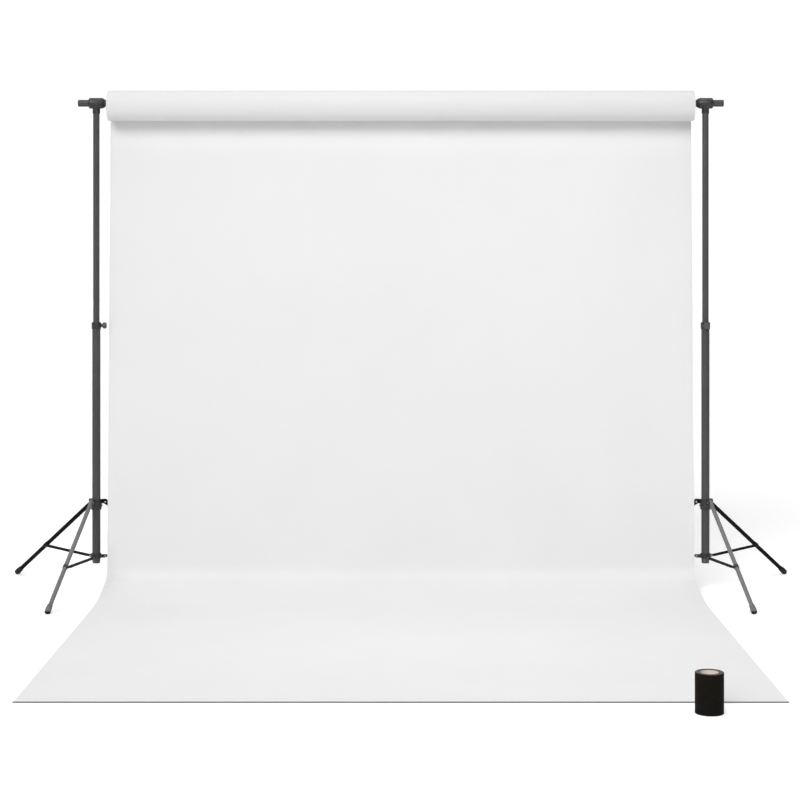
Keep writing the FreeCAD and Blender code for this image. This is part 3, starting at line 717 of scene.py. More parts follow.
def joined(shapes: Sequence[tuple[bmesh.types.BMesh, Matrix]]) -> bmesh.types.BMesh:
    """Put several meshes, each with its place, into one.

    Args:
        shapes: The meshes, which are freed, and their places.

    Returns:
        The one mesh.
    """
    whole = bmesh.new()
    for shape, place in shapes:
        bmesh.ops.transform(shape, matrix=place, verts=shape.verts)
        part = bpy.data.meshes.new("part")
        shape.to_mesh(part)
        shape.free()
        whole.from_mesh(part)
        bpy.data.meshes.remove(part)
    return whole


def wear(item: bpy.types.Object, material: bpy.types.Material) -> bpy.types.Object:
    """Dress every face of an object in one material.

    Args:
        item: The object.
        material: The material.

    Returns:
        The object.
    """
    item.data.materials.clear()
    item.data.materials.append(material)
    item.data.polygons.foreach_set("material_index", [0] * len(item.data.polygons))
    return item


def softened(node: str, width: float) -> bmesh.types.BMesh:
    """Copy a node's mesh and round its sharp edges.

    Args:
        node: The node to copy.
        width: The width of the rounding in metres.

    Returns:
        The copy.
    """
    shape = bmesh.new()
    shape.from_mesh(frame["nodes"][node].data)
    bmesh.ops.remove_doubles(shape, verts=shape.verts, dist=1e-6)
    bmesh.ops.dissolve_limit(shape, angle_limit=math.radians(FLAT_DEGREES), verts=shape.verts,
                             edges=shape.edges)
    limit = math.radians(SHARP_DEGREES)
    sharp = [edge for edge in shape.edges
             if len(edge.link_faces) == 2 and edge.calc_face_angle(0.0) > limit]
    bmesh.ops.bevel(shape, geom=sharp, offset=width, segments=2, profile=0.6, affect="EDGES",
                    clamp_overlap=True, loop_slide=True)
    return shape


# -------------------------------------------------------------------------- geometry nodes
class Tree(Wiring):
    """A geometry node tree whose result becomes a plain mesh."""

    def __init__(self, name: str, sizes: dict[str, tuple[str, object]]) -> None:
        """Start a tree with named inputs.

        Args:
            name: The tree's name.
            sizes: Each input's socket type and value by its name.
        """
        super().__init__(bpy.data.node_groups.new(name, "GeometryNodeTree"))
        sockets = self.tree.interface
        for way in ("INPUT", "OUTPUT"):
            sockets.new_socket("Geometry", in_out=way, socket_type="NodeSocketGeometry")
        self.values = {}
        for key, (kind, value) in sizes.items():
            socket = sockets.new_socket(key, in_out="INPUT", socket_type=kind)
            self.values[socket.identifier] = value
        self.inputs = self.add("NodeGroupInput").outputs
        self.output = self.add("NodeGroupOutput")

    def close(self, geometry: Socket) -> None:
        """End the tree in Realize Instances and Set Material.

        Args:
            geometry: The geometry to hand out.
        """
        real = self.add("GeometryNodeRealizeInstances")
        paint = self.add("GeometryNodeSetMaterial")
        self.wire(geometry, real.inputs["Geometry"])
        self.wire(real.outputs["Geometry"], paint.inputs["Geometry"])
        self.wire(self.inputs["Material"], paint.inputs["Material"])
        self.wire(paint.outputs["Geometry"], self.output.inputs[0])

    def grow(self, seed: bpy.types.Mesh) -> bmesh.types.BMesh:
        """Run the tree on a seed mesh.

        Args:
            seed: The mesh that the tree starts from, which is removed.

        Returns:
            The grown mesh, with its faces pointing outwards.
        """
        item = bpy.data.objects.new("seed", seed)
        bpy.context.scene.collection.objects.link(item)
        modifier = item.modifiers.new("grow", "NODES")
        modifier.node_group = self.tree
        for identifier, value in self.values.items():
            modifier[identifier] = value
        graph = bpy.context.evaluated_depsgraph_get()
        mesh = bpy.data.meshes.new_from_object(item.evaluated_get(graph))
        shape = bmesh.new()
        shape.from_mesh(mesh)
        bmesh.ops.remove_doubles(shape, verts=shape.verts, dist=1e-7)
        bmesh.ops.recalc_face_normals(shape, faces=shape.faces)
        bpy.data.objects.remove(item)
        bpy.data.meshes.remove(mesh)
        bpy.data.meshes.remove(seed)
        return shape


def winding(material: bpy.types.Material, inner: float, outer: float, turns: int,
            wire: float) -> bmesh.types.BMesh:
    """The edges of a wound roll's layers, as one spiral ridge round the Z axis.

    Args:
        material: The ridge's material.
        inner: The radius where the winding starts.
        outer: The radius where it ends.
        turns: How many layers it has.
        wire: The ridge's width in metres.

    Returns:
        The ridge.
    """
    tree = Tree("wound_layers", {
        "Inner Radius": ("NodeSocketFloat", inner), "Outer Radius": ("NodeSocketFloat", outer),
        "Turns": ("NodeSocketFloat", float(turns)), "Ridge": ("NodeSocketFloat", wire),
        "Material": ("NodeSocketMaterial", material)})
    spiral = tree.add("GeometryNodeCurveSpiral")
    spiral.inputs["Resolution"].default_value = 56
    spiral.inputs["Height"].default_value = 0.0
    tree.wire(tree.inputs["Turns"], spiral.inputs["Rotations"])
    tree.wire(tree.inputs["Inner Radius"], spiral.inputs["Start Radius"])
    tree.wire(tree.inputs["Outer Radius"], spiral.inputs["End Radius"])
    ridge = tree.add("GeometryNodeCurvePrimitiveQuadrilateral")
    tree.wire(tree.inputs["Ridge"], ridge.inputs["Width"])
    tree.wire(tree.inputs["Ridge"], ridge.inputs["Height"])
    sweep = tree.add("GeometryNodeCurveToMesh")
    sweep.inputs["Fill Caps"].default_value = True
    tree.wire(spiral.outputs["Curve"], sweep.inputs["Curve"])
    tree.wire(ridge.outputs["Curve"], sweep.inputs["Profile Curve"])
    tree.close(sweep.outputs["Mesh"])
    return tree.grow(bpy.data.meshes.new("seed"))


def studded(material: bpy.types.Material, stud: bmesh.types.BMesh,
            places: Sequence[tuple[Vector, Vector]]) -> bmesh.types.BMesh:
    """Set one stud at each place, turned to that place's direction.

    Args:
        material: The studs' material.
        stud: The stud along its own Z axis, which is freed.
        places: The point and the direction of each stud.

    Returns:
        The studs.
    """
    model = solid("stud", stud)
    seed = bpy.data.meshes.new("seed")
    seed.from_pydata([point for point, _ in places], [], [])
    aims = seed.attributes.new("aim", "FLOAT_VECTOR", "POINT")
    aims.data.foreach_set("vector", [number for _, aim in places for number in aim])
    tree = Tree("rivets", {"Stud": ("NodeSocketObject", model),
                           "Material": ("NodeSocketMaterial", material)})
    info = tree.add("GeometryNodeObjectInfo")
    tree.wire(tree.inputs["Stud"], info.inputs["Object"])
    aim = tree.add("GeometryNodeInputNamedAttribute", data_type="FLOAT_VECTOR")
    aim.inputs["Name"].default_value = "aim"
    turn = tree.add("FunctionNodeAlignRotationToVector", axis="Z")
    tree.wire(aim.outputs["Attribute"], turn.inputs["Vector"])
    copies = tree.add("GeometryNodeInstanceOnPoints")
    tree.wire(tree.inputs["Geometry"], copies.inputs["Points"])
    tree.wire(info.outputs["Geometry"], copies.inputs["Instance"])
    tree.wire(turn.outputs["Rotation"], copies.inputs["Rotation"])
    tree.close(copies.outputs["Instances"])
    shape = tree.grow(seed)
    bpy.data.objects.remove(model)
    return shape


def ribbed(material: bpy.types.Material, low: float, pitch: float, count: int,
           radius: float, taper: float, rib: float) -> bmesh.types.BMesh:
    """Rings in a row up the Z axis, each a little smaller than the last.

    Args:
        material: The rings' material.
        low: The height of the first ring.
        pitch: The step to the next ring.
        count: How many rings there are.
        radius: The first ring's radius.
        taper: The share of the radius that each next ring loses.
        rib: The radius of a ring's own section.

    Returns:
        The rings.
    """
    tree = Tree("boot_ribs", {
        "Count": ("NodeSocketInt", count), "Low": ("NodeSocketFloat", low),
        "Pitch": ("NodeSocketFloat", pitch), "Radius": ("NodeSocketFloat", radius),
        "Taper": ("NodeSocketFloat", taper), "Rib": ("NodeSocketFloat", rib),
        "Material": ("NodeSocketMaterial", material)})
    start = tree.add("ShaderNodeCombineXYZ")
    step = tree.add("ShaderNodeCombineXYZ")
    tree.wire(tree.inputs["Low"], start.inputs["Z"])
    tree.wire(tree.inputs["Pitch"], step.inputs["Z"])
    row = tree.add("GeometryNodeMeshLine")
    tree.wire(tree.inputs["Count"], row.inputs["Count"])
    tree.wire(start.outputs["Vector"], row.inputs["Start Location"])
    tree.wire(step.outputs["Vector"], row.inputs["Offset"])
    ring = tree.add("GeometryNodeCurvePrimitiveCircle")
    ring.inputs["Resolution"].default_value = 40
    section = tree.add("GeometryNodeCurvePrimitiveCircle")
    section.inputs["Resolution"].default_value = 8
    tree.wire(tree.inputs["Radius"], ring.inputs["Radius"])
    tree.wire(tree.inputs["Rib"], section.inputs["Radius"])
    sweep = tree.add("GeometryNodeCurveToMesh")
    tree.wire(ring.outputs["Curve"], sweep.inputs["Curve"])
    tree.wire(section.outputs["Curve"], sweep.inputs["Profile Curve"])
    number = tree.add("GeometryNodeInputIndex")
    loss = tree.add("ShaderNodeMath", operation="MULTIPLY")
    tree.wire(number.outputs["Index"], loss.inputs[0])
    tree.wire(tree.inputs["Taper"], loss.inputs[1])
    share = tree.add("ShaderNodeMath", operation="SUBTRACT")
    share.inputs[0].default_value = 1.0
    tree.wire(loss.outputs["Value"], share.inputs[1])
    copies = tree.add("GeometryNodeInstanceOnPoints")
    tree.wire(row.outputs["Mesh"], copies.inputs["Points"])
    tree.wire(sweep.outputs["Mesh"], copies.inputs["Instance"])
    tree.wire(share.outputs["Value"], copies.inputs["Scale"])
    tree.close(copies.outputs["Instances"])
    return tree.grow(bpy.data.meshes.new("seed"))


# --------------------------------------------------------------------------------- palette
@dataclass
class Palette:
    """Every finish of the system, each built once.

    Args:
        made: The materials built so far, by name. The other fields are the finishes.
    """

    made: dict[str, bpy.types.Material] = field(default_factory=dict)

    tube: Finish = Finish(
        "satin_black_tube_paint", Slot.TUBE_PAINT, grey(0.064), grey(0.074), (0.34, 0.44),
        specular=0.26, grain_scale=700.0, grain_depth=0.000012, streak=Streak.UPRIGHT,
        scuff=grey(0.16), scuff_share=0.30)
    bar: Finish = Finish(
        "satin_black_bar_paint", Slot.TUBE_PAINT, grey(0.058), grey(0.070), (0.34, 0.44),
        specular=0.26, grain_scale=700.0, grain_depth=0.000012, streak=Streak.ALONG_BAR,
        scuff=grey(0.18), scuff_share=0.35)
    # Outer and inner legs: a copy of the tube paint darkened to near black as painted shade.
    leg: Finish = Finish(
        "black_leg_paint", Slot.TUBE_PAINT, grey(0.0045), grey(0.0075), (0.42, 0.52),
        specular=0.06, grain_scale=700.0, grain_depth=0.000012, scuff=grey(0.06),
        scuff_share=0.25)
    # Front leg: a copy of the tube paint lightened to grey as painted light, for the leg that
    # faces the lights.
    front_leg: Finish = Finish(
        "satin_grey_leg_paint", Slot.TUBE_PAINT, grey(0.165), grey(0.190), (0.36, 0.46),
        specular=0.24, grain_scale=700.0, grain_depth=0.000012, scuff=grey(0.26),
        scuff_share=0.30)
    brace: Finish = Finish(
        "black_pressed_steel", Slot.BRACE_STEEL, grey(0.007), grey(0.011), (0.42, 0.55),
        specular=0.10, grain_scale=1100.0, grain_depth=0.00002, scuff=grey(0.20), scuff_share=0.4)
    casting: Finish = Finish(
        "black_die_casting", Slot.CAST_BLACK, grey(0.004), grey(0.046), (0.28, 0.42),
        specular=0.50, blotch_scale=190.0, grain_scale=620.0, grain_depth=0.0004,
        scuff=grey(0.14), scuff_share=0.30)
    rivet: Finish = Finish(
        "zinc_plated_rivet", Slot.RIVET_STEEL, grey(0.62, 0.02), grey(0.48, 0.03),
        (0.22, 0.40), metallic=1.0, blotch_scale=120.0, grain_scale=2500.0,
        grain_depth=0.00001)
    plastic: Finish = Finish(
        "textured_black_plastic", Slot.BLACK_PLASTIC, grey(0.078), grey(0.098),
        (0.38, 0.50), specular=0.36, blotch_scale=60.0, grain_scale=1400.0,
        grain_depth=0.00012)
    rubber: Finish = Finish(
        "black_foot_rubber", Slot.FOOT_RUBBER, grey(0.014), grey(0.022, 0.04), (0.66, 0.85),
        specular=0.35, blotch_scale=70.0, grain_scale=1300.0, grain_depth=0.00005,
        scuff=grey(0.10, 0.06), scuff_share=0.5)
    # Front boots: rubber lightened to grey as painted light, with a tip in the rubber's own dark
    # colour.
    grey_rubber: Finish = TippedFinish(
        "grey_foot_rubber", Slot.FOOT_RUBBER, grey(0.150), grey(0.180), (0.60, 0.78),
        specular=0.2, blotch_scale=70.0, grain_scale=1300.0, grain_depth=0.00005,
        scuff=grey(0.008))
    # The roll's paper: a copy of the sheet's paper darkened as painted shade, so the roll's lit
    # top stays off white.
    roll_paper: Finish = PaperFinish(
        "wound_white_paper", Slot.WHITE_PAPER, grey(0.745), grey(0.760), (0.78, 0.92),
        specular=0.1, blotch_scale=2.5, grain_scale=1400.0, grain_depth=0.00003,
        scuff=grey(0.72))
    paper: Finish = PaperFinish(
        "seamless_white_paper", Slot.WHITE_PAPER, grey(0.820), grey(0.835), (0.78, 0.92),
        specular=0.25, blotch_scale=2.5, grain_scale=1400.0, grain_depth=0.00003,
        scuff=grey(0.80))
    tape: Finish = WovenFinish(
        "black_cloth_tape", Slot.BLACK_TAPE, grey(0.0052, 0.20), grey(0.0075, 0.20),
        (0.55, 0.70), specular=0.05, blotch_scale=60.0, grain_scale=1500.0,
        grain_depth=0.00030, scuff=grey(0.011, 0.16))
    # A dark strip over the sheet's front edge: painted shade, a dark line standing in for the
    # shade along the edge.
    binding: Finish = Finish(
        "black_edge_binding", Slot.BLACK_TAPE, grey(0.03), grey(0.04), (0.55, 0.70),
        specular=0.1, blotch_scale=30.0, grain_scale=1500.0, grain_depth=0.00003)

    def of(self, finish: Finish) -> bpy.types.Material:
        """The material of a finish, built on its first use."""
        if finish.name not in self.made:
            self.made[finish.name] = finish.material()
        return self.made[finish.name]

    def paint(self, node: str, finish: Finish) -> None:
        """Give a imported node, which keeps its shape, its finish."""
        wear(frame["nodes"][node], self.of(finish))

    def dress(self, item: bpy.types.Object, finish: Finish, body: str,
              nodes: Sequence[str] = ()) -> bpy.types.Object:
        """Give a piece its finish, its body and the nodes that it stands for.

        Args:
            item: The piece.
            finish: The finish that it wears.
            body: The body that it moves with.
            nodes: The nodes that it replaces.

        Returns:
            The piece.
        """
        wear(item, self.of(finish))
        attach(item, body)
        if nodes:
            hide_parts(*nodes)
        return item


# ----------------------------------------------------------------------------------- stand
LOCK_KNOB_AZIMUTHS = {Side.LEFT: 0.0, Side.RIGHT: 270.0}
COLLAR_KNOB_AZIMUTH = 80.0
TEE_SCREW_AZIMUTH = 90.0


@dataclass
class StarKnob:
    """A knob with rounded lobes round its grip and a small cap in its face.

    Args:
        neck_start: Where the neck starts, along the screw's axis.
        screw_start: Where the screw's tip is.
        neck: The neck's radius and height.
        grip: The grip's radius and height.
        edge: The rounding of the grip's edges.
        lobes: How many lobes the grip has.
        lobe_depth: How deep the hollows between the lobes are.
        screw: The screw's radius.
    """

    neck_start: float
    screw_start: float
    neck: tuple[float, float] = (0.0065, 0.0036)
    grip: tuple[float, float] = (0.0155, 0.017)
    edge: float = 0.0035
    lobes: int = 6
    lobe_depth: float = 0.0023
    screw: float = 0.003

    def shape(self) -> bmesh.types.BMesh:
        """Build the knob along +Z, its screw's axis.

        Returns:
            The knob's mesh.
        """
        neck_radius, neck_height = self.neck
        grip_radius, grip_height = self.grip
        low = self.neck_start + neck_height
        high = low + grip_height
        cap = grip_radius * 0.52
        sink = self.edge * 0.22
        sharp = [
            (0.0, self.screw_start), (self.screw, self.screw_start),
            (self.screw, self.neck_start), (neck_radius, self.neck_start),
            (neck_radius, low), (grip_radius - self.edge * 0.6, low),
            (grip_radius, low + self.edge * 0.7), (grip_radius, high - self.edge),
            (grip_radius - self.edge * 0.45, high - self.edge * 0.3),
            (grip_radius - self.edge, high), (cap + sink, high), (cap, high - sink),
            (cap - sink, high - sink), (cap - sink * 2, high - sink * 0.2), (0.0, high)]
        soft = rounded(sharp, self.edge * 0.35, (4, 5, 6, 7, 8, 9, 10, 13))
        start = self.neck[0] * 1.25

        def reach(radius: float, height: float, angle: float) -> float:
            """The radius with the hollows taken out of the grip.

            Args:
                radius: The profile's radius.
                height: The place along the screw's axis.
                angle: The angle round it.

            Returns:
                The radius at that angle.
            """
            if radius < start or height < low - 1e-6:
                return radius
            share = min(1.0, (radius - start) / (grip_radius - start))
            hollow = (0.5 - 0.5 * math.cos(self.lobes * angle)) ** 1.6
            return radius - self.lobe_depth * share ** 2 * hollow

        return turned(soft, 96, radius_at=reach)


@dataclass
class Stand:
    """One folding stand: column, mast, collars, legs, braces and knobs.

    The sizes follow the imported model; places across the stand come from its column's box.

    Args:
        side: Which of the two stands.
        palette: The finishes.
        lock_screw_z: The height of the lock knob's axis.
        collar_screw_z: The height of the leg collar knob's axis.
        bar_z: The height of the crossbar, which the thumb screw points at.
        column_radius: The radius of the column, which the leg collar's screw presses on.
        mast_radius: The radius of the mast, which the lock collar's screw presses on.
        tee_radius: The tee head's radius, where the thumb screw's knob starts.
        tee_screw_tip: How far from the axis the thumb screw ends.
        boss_reach: How far from the axis the collars' bosses reach.
        gap: The gap between moving faces.
        leg_side: How far beside its arm a leg lies.
        leg_radius: A leg's radius.
        leg_pivot: A leg's pivot: its distance from the axis and its height.
        foot: A leg's foot, in the same way.
        bracket_pivot: A brace's pivot, in the same way.
        arm_faces: The two faces of an arm, sideways from its middle.
        tab_face: The outer face of a brace's tab, in the same way.
        rivet_sizes: A rivet's radius, its head's radius and its head's height.
        boot_tip: The radius, edge and length of a boot's tip.
        boot_neck: The radius of a boot's neck.
        boot_length: A boot's length.
        boot_sole: The thickness of the rubber under the leg.
        boot_slack: The gap between a boot and its leg.
        softening: The width of the rounding of the castings' edges.
    """

    side: Side
    palette: Palette
    lock_screw_z: float = 1.2255
    collar_screw_z: float = 0.383
    bar_z: float = 2.2585
    column_radius: float = 0.019
    mast_radius: float = 0.0148
    tee_radius: float = 0.025
    tee_screw_tip: float = 0.0166
    boss_reach: float = 0.026
    gap: float = 0.0004
    leg_side: float = 0.0125
    leg_radius: float = 0.0095
    leg_pivot: tuple[float, float] = (0.038, 0.406)
    foot: tuple[float, float] = (0.600, 0.007)
    bracket_pivot: tuple[float, float] = (0.041, 0.1525)
    arm_faces: tuple[float, float] = (-0.0026, 0.0014)
    tab_face: float = 0.0024
    rivet_sizes: tuple[float, float, float] = (0.003, 0.0045, 0.0015)
    boot_tip: tuple[float, float, float] = (0.01325, 0.003, 0.014)
    boot_neck: float = 0.0112
    boot_length: float = 0.046
    boot_sole: float = 0.008
    boot_slack: float = 0.0002
    softening: float = 0.0006

    def __post_init__(self) -> None:
        """Find the column's axis."""
        low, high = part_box(self.node("lower_column"))
        middle = (low + high) / 2
        self.axis = Vector((middle.x, middle.y, 0.0))

    def node(self, piece: str) -> str:
        """The name of one of this stand's nodes."""
        return f"{self.side.word}_{piece}"

    def body(self, node: str) -> str:
        """The body that a node moves with."""
        return frame["nodes"][node]["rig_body"]

    def azimuth(self, angle: float) -> float:
        """An azimuth of the left stand in degrees, mirrored on the right one."""
        return angle if self.side is Side.LEFT else 180.0 - angle

    def spoke(self, angle: float, reach: float, side: float, height: float) -> Matrix:
        """A place with X outwards, Y sideways and Z up.

        Args:
            angle: The azimuth on the left stand, in degrees.
            reach: The distance from the column's axis.
            side: The distance sideways, mirrored on the right stand.
            height: The height above the floor.

        Returns:
            The place's matrix.
        """
        turn = Matrix.Rotation(math.radians(self.azimuth(angle)), 4, "Z")
        offset = Matrix.Translation((reach, self.side.value * side, height))
        return Matrix.Translation(self.axis) @ turn @ offset

    def leg_place(self, leg: Leg) -> tuple[Matrix, float]:
        """A leg's place, with the foot down its own -Z axis, and its length.

        Args:
            leg: Which leg.

        Returns:
            The matrix at the leg's pivot, and the length from there to the foot.
        """
        run = self.foot[0] - self.leg_pivot[0]
        rise = self.leg_pivot[1] - self.foot[1]
        pivot = self.spoke(leg.value, self.leg_pivot[0], -self.leg_side, self.leg_pivot[1])
        slope = Matrix.Rotation(-math.atan2(run, rise), 4, "Y")
        return pivot @ slope, math.hypot(run, rise)

    def build(self) -> None:
        """Build and dress every piece of the stand."""
        self.dress_tubes()
        self.castings()
        self.knobs()
        self.rivets()
        for leg in Leg:
            self.boot(leg)

    def dress_tubes(self) -> None:
        """Dress the column, the mast, its bush and the legs, which keep their shapes."""
        for piece in ("lower_column", "mast_tube"):
            self.palette.paint(self.node(piece), self.palette.tube)
        self.palette.paint(self.node("mast_bush"), self.palette.plastic)
        for leg in Leg:
            # The front leg's paint is lightened as painted light; the other legs' paint is
            # darkened as painted shade.
            finish = self.palette.front_leg if leg is Leg.FRONT else self.palette.leg
            self.palette.paint(self.node(f"{leg.word}_leg"), finish)

    def soft_copy(self, piece: str, finish: Finish, width: float, word: str) -> None:
        """Replace a node by a copy with rounded edges.

        Args:
            piece: The node's name without its side.
            finish: The finish that the copy wears.
            width: The width of the rounding in metres.
            word: What the copy's name ends in.
        """
        node = self.node(piece)
        item = solid(f"{node}_{word}", softened(node, width))
        self.palette.dress(item, finish, self.body(node), [node])

    def castings(self) -> None:
        """Round the castings, the end cap, the saddles and the braces."""
        cast = self.palette.casting
        for piece in ("mast_lock_collar", "leg_collar", "brace_bracket", "tee_head"):
            self.soft_copy(piece, cast, self.softening, "casting")
        self.soft_copy("column_end_cap", self.palette.plastic, self.softening, "moulding")
        for leg in Leg:
            self.soft_copy(f"{leg.word}_brace_saddle", cast, self.softening, "casting")
            self.soft_copy(f"{leg.word}_brace", self.palette.brace, self.softening / 2,
                           "pressing")

    def knobs(self) -> None:
        """Build the lock knob, the leg collar's knob and the tee's thumb screw."""
        boss = self.boss_reach + self.gap
        star = StarKnob(boss, self.mast_radius + self.gap)
        self.knob("mast_lock_knob", star, LOCK_KNOB_AZIMUTHS[self.side], self.lock_screw_z)
        star = StarKnob(boss, self.column_radius + self.gap)
        self.knob("leg_collar_knob", star, self.azimuth(COLLAR_KNOB_AZIMUTH),
                  self.collar_screw_z)
        thumb = StarKnob(self.tee_radius + self.gap, self.tee_screw_tip, neck=(0.0065, 0.003),
                         grip=(0.010, 0.009), edge=0.0016, lobes=10, lobe_depth=0.0009)
        self.knob("tee_lock_screw", thumb, TEE_SCREW_AZIMUTH, self.bar_z)

    def knob(self, piece: str, star: StarKnob, azimuth: float, height: float) -> None:
        """Put a knob in its place.

        Args:
            piece: The node's name without its side.
            star: The knob.
            azimuth: Where its axis points, in degrees.
            height: The height of its axis.
        """
        angle = math.radians(azimuth)
        outwards = Vector((math.cos(angle), math.sin(angle), 0.0))
        place = pointing(self.axis + Vector((0, 0, height)), outwards)
        node = self.node(piece)
        item = solid(f"{node}_star", star.shape(), place, 50.0)
        self.palette.dress(item, self.palette.plastic, self.body(node), [node])

    def rivet(self, length: float) -> bmesh.types.BMesh:
        """A rivet along +Z with a domed head at each end of its shank.

        Args:
            length: The length of the shank.

        Returns:
            The rivet's mesh.
        """
        shank, head, rise = self.rivet_sizes
        dome = [(head * math.sin(math.radians(angle)), rise * math.cos(math.radians(angle)))
                for angle in (0, 20, 40, 60, 78, 90)]
        lower = [(radius, -height) for radius, height in dome]
        upper = [(radius, length + height) for radius, height in reversed(dome)]
        return turned(lower + [(shank, 0.0), (shank, length)] + upper, 24)

    def rivets(self) -> None:
        """Set the rivets of the leg collar and of the brace bracket."""
        inner, outer = self.arm_faces
        leg_face = -(self.leg_side + self.leg_radius + self.gap)
        rows = (("leg_rivets", self.leg_pivot, leg_face, outer),
                ("brace_rivets", self.bracket_pivot, inner, self.tab_face + self.gap))
        for piece, (reach, height), low, high in rows:
            places = []
            for leg in Leg:
                place = self.spoke(leg.value, reach, low, height)
                aim = place.to_3x3() @ Vector((0, self.side.value, 0))
                places.append((place.translation, aim))
            steel = self.palette.rivet
            node = self.node(piece)
            rivets = studded(self.palette.of(steel), self.rivet(high - low), places)
            self.palette.dress(solid(f"{node}_domed", rivets), steel, self.body(node), [node])

    def boot(self, leg: Leg) -> None:
        """Build a leg's rubber boot, cut flat where it stands, with grip ribs.

        Args:
            leg: Which leg.
        """
        place, length = self.leg_place(leg)
        node = self.node(f"{leg.word}_foot")
        # The front boot's rubber is lightened as painted light, except at its dark tip.
        rubber = self.palette.grey_rubber if leg is Leg.FRONT else self.palette.rubber
        end = -length
        tip, edge, tip_length = self.boot_tip
        top, sole = end + self.boot_length, end + self.boot_sole
        bore = self.leg_radius + self.boot_slack
        sharp = [(0.0, end), (tip - edge, end), (tip, end + edge), (tip, end + tip_length),
                 (self.boot_neck, top - 0.001), (bore, top), (bore, sole), (0.0, sole)]
        boot = turned(rounded(sharp, 0.0016, (1, 2, 3, 4)), 48)
        bmesh.ops.transform(boot, matrix=place, verts=boot.verts)
        cut = bmesh.ops.bisect_plane(boot, geom=list(boot.verts) + list(boot.edges)
                                     + list(boot.faces), plane_co=(0, 0, 0),
                                     plane_no=(0, 0, 1), clear_inner=True)
        rim = [part for part in cut["geom_cut"] if isinstance(part, bmesh.types.BMEdge)]
        bmesh.ops.edgenet_fill(boot, edges=rim)
        bmesh.ops.recalc_face_normals(boot, faces=boot.faces)
        ribs = ribbed(self.palette.of(rubber), low=end + 0.0185, pitch=0.0052, count=5,
                      radius=0.01300, taper=0.0285, rib=0.00075)
        item = solid(f"{node}_boot", joined(((boot, Matrix()), (ribs, place))), angle=40.0)
        self.palette.dress(item, rubber, self.body(node), [node])


# -------------------------------------------------------------------------------- crossbar
@dataclass
class Crossbar:
    """The plug-together tubes of the crossbar, which keep their shapes.

    Args:
        palette: The finishes.
        sections: How many tubes there are.
    """

    palette: Palette
    sections: int = 4

    def build(self) -> None:
        """Dress the sections."""
        for number in range(1, self.sections + 1):
            self.palette.paint(f"crossbar_section_{number}", self.palette.bar)


# ----------------------------------------------------------------------------------- paper
@dataclass
class SheetLine:
    """The side view of the sheet: drop, tight bend, long sweep and the part on the floor.

    Args:
        stand_y: The stand line.
        roll_z: The height of the roll's axis.
        roll_radius: The roll's radius.
        gap: The gap between roll and sheet.
        thickness: The sheet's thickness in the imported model.
        lean: The drop's lean in degrees.
        bend: The radius of the tight bend.
        sweep: The radius of the long sweep.
        sweep_angle: The slope at which the sweep meets the bend, in degrees.
        reach: How far the sheet runs in front of the stand line.
        steps: How many pieces the drop, the bend, the sweep and the floor part have.
        crowding: How much closer the pieces on the floor lie near the front edge.
    """

    stand_y: float
    roll_z: float
    roll_radius: float = 0.0705
    gap: float = 0.0004
    thickness: float = 0.001
    lean: float = 2.85
    bend: float = 0.070
    sweep: float = 1.450
    sweep_angle: float = 15.0
    reach: float = 2.1345
    steps: tuple[int, int, int, int] = (90, 28, 30, 110)
    crowding: float = 1.35

    def corners(self) -> tuple[Vector, Vector, Vector, Vector]:
        """Work out where the sheet's stretches meet, on its back face.

        Returns:
            The top, the drop's lower end, the bend's centre and the sweep's centre, each as
            (distance behind the stand line, height).
        """
        lean, shallow = math.radians(self.lean), math.radians(self.sweep_angle)
        steep = math.pi / 2 - lean
        back = self.roll_radius + self.gap + self.thickness
        top = Vector((back * math.cos(lean), self.roll_z - back * math.sin(lean)))
        bend_y = (self.sweep - self.bend) * math.sin(shallow)
        bend_z = self.sweep - (self.sweep - self.bend) * math.cos(shallow)
        low_z = bend_z - self.bend * math.cos(steep)
        low = Vector((top.x - (top.y - low_z) * math.tan(lean), low_z))
        floor_end = low.x - self.bend * math.sin(steep) - bend_y
        return (top, low, Vector((floor_end + bend_y, bend_z)),
                Vector((floor_end, self.sweep)))

    def points(self) -> list[tuple[Vector, Vector]]:
        """Follow the sheet's middle from its top to its front edge.

        Returns:
            Each point with the direction towards the subject, both in the YZ plane.
        """
        top, low, bend_centre, sweep_centre = self.corners()
        lean, shallow = math.radians(self.lean), math.radians(self.sweep_angle)
        steep = math.pi / 2 - lean
        drop_steps, bend_steps, sweep_steps, floor_steps = self.steps
        half = self.thickness / 2
        line = []
        front = Vector((-math.cos(lean), math.sin(lean)))
        for step in range(drop_steps):
            line.append((top.lerp(low, step / drop_steps) + front * half, front))
        arcs = ((bend_centre, self.bend, steep, shallow, bend_steps),
                (sweep_centre, self.sweep, shallow, 0.0, sweep_steps))
        for centre, radius, start, end, steps in arcs:
            for step in range(steps):
                angle = start + (end - start) * step / steps
                inwards = Vector((-math.sin(angle), math.cos(angle)))
                line.append((centre - inwards * (radius - half), inwards))
        start = sweep_centre.x
        for step in range(floor_steps + 1):
            share = 1 - (1 - step / floor_steps) ** self.crowding
            y = start + (-self.reach - start) * share
            line.append((Vector((y, half)), Vector((0.0, 1.0))))
        return [(Vector((self.stand_y + point.x, point.y)), way) for point, way in line]

    def length(self) -> float:
        """The sheet's length along its middle."""
        line = [point for point, _ in self.points()]
        return sum((after - before).length for before, after in zip(line, line[1:]))


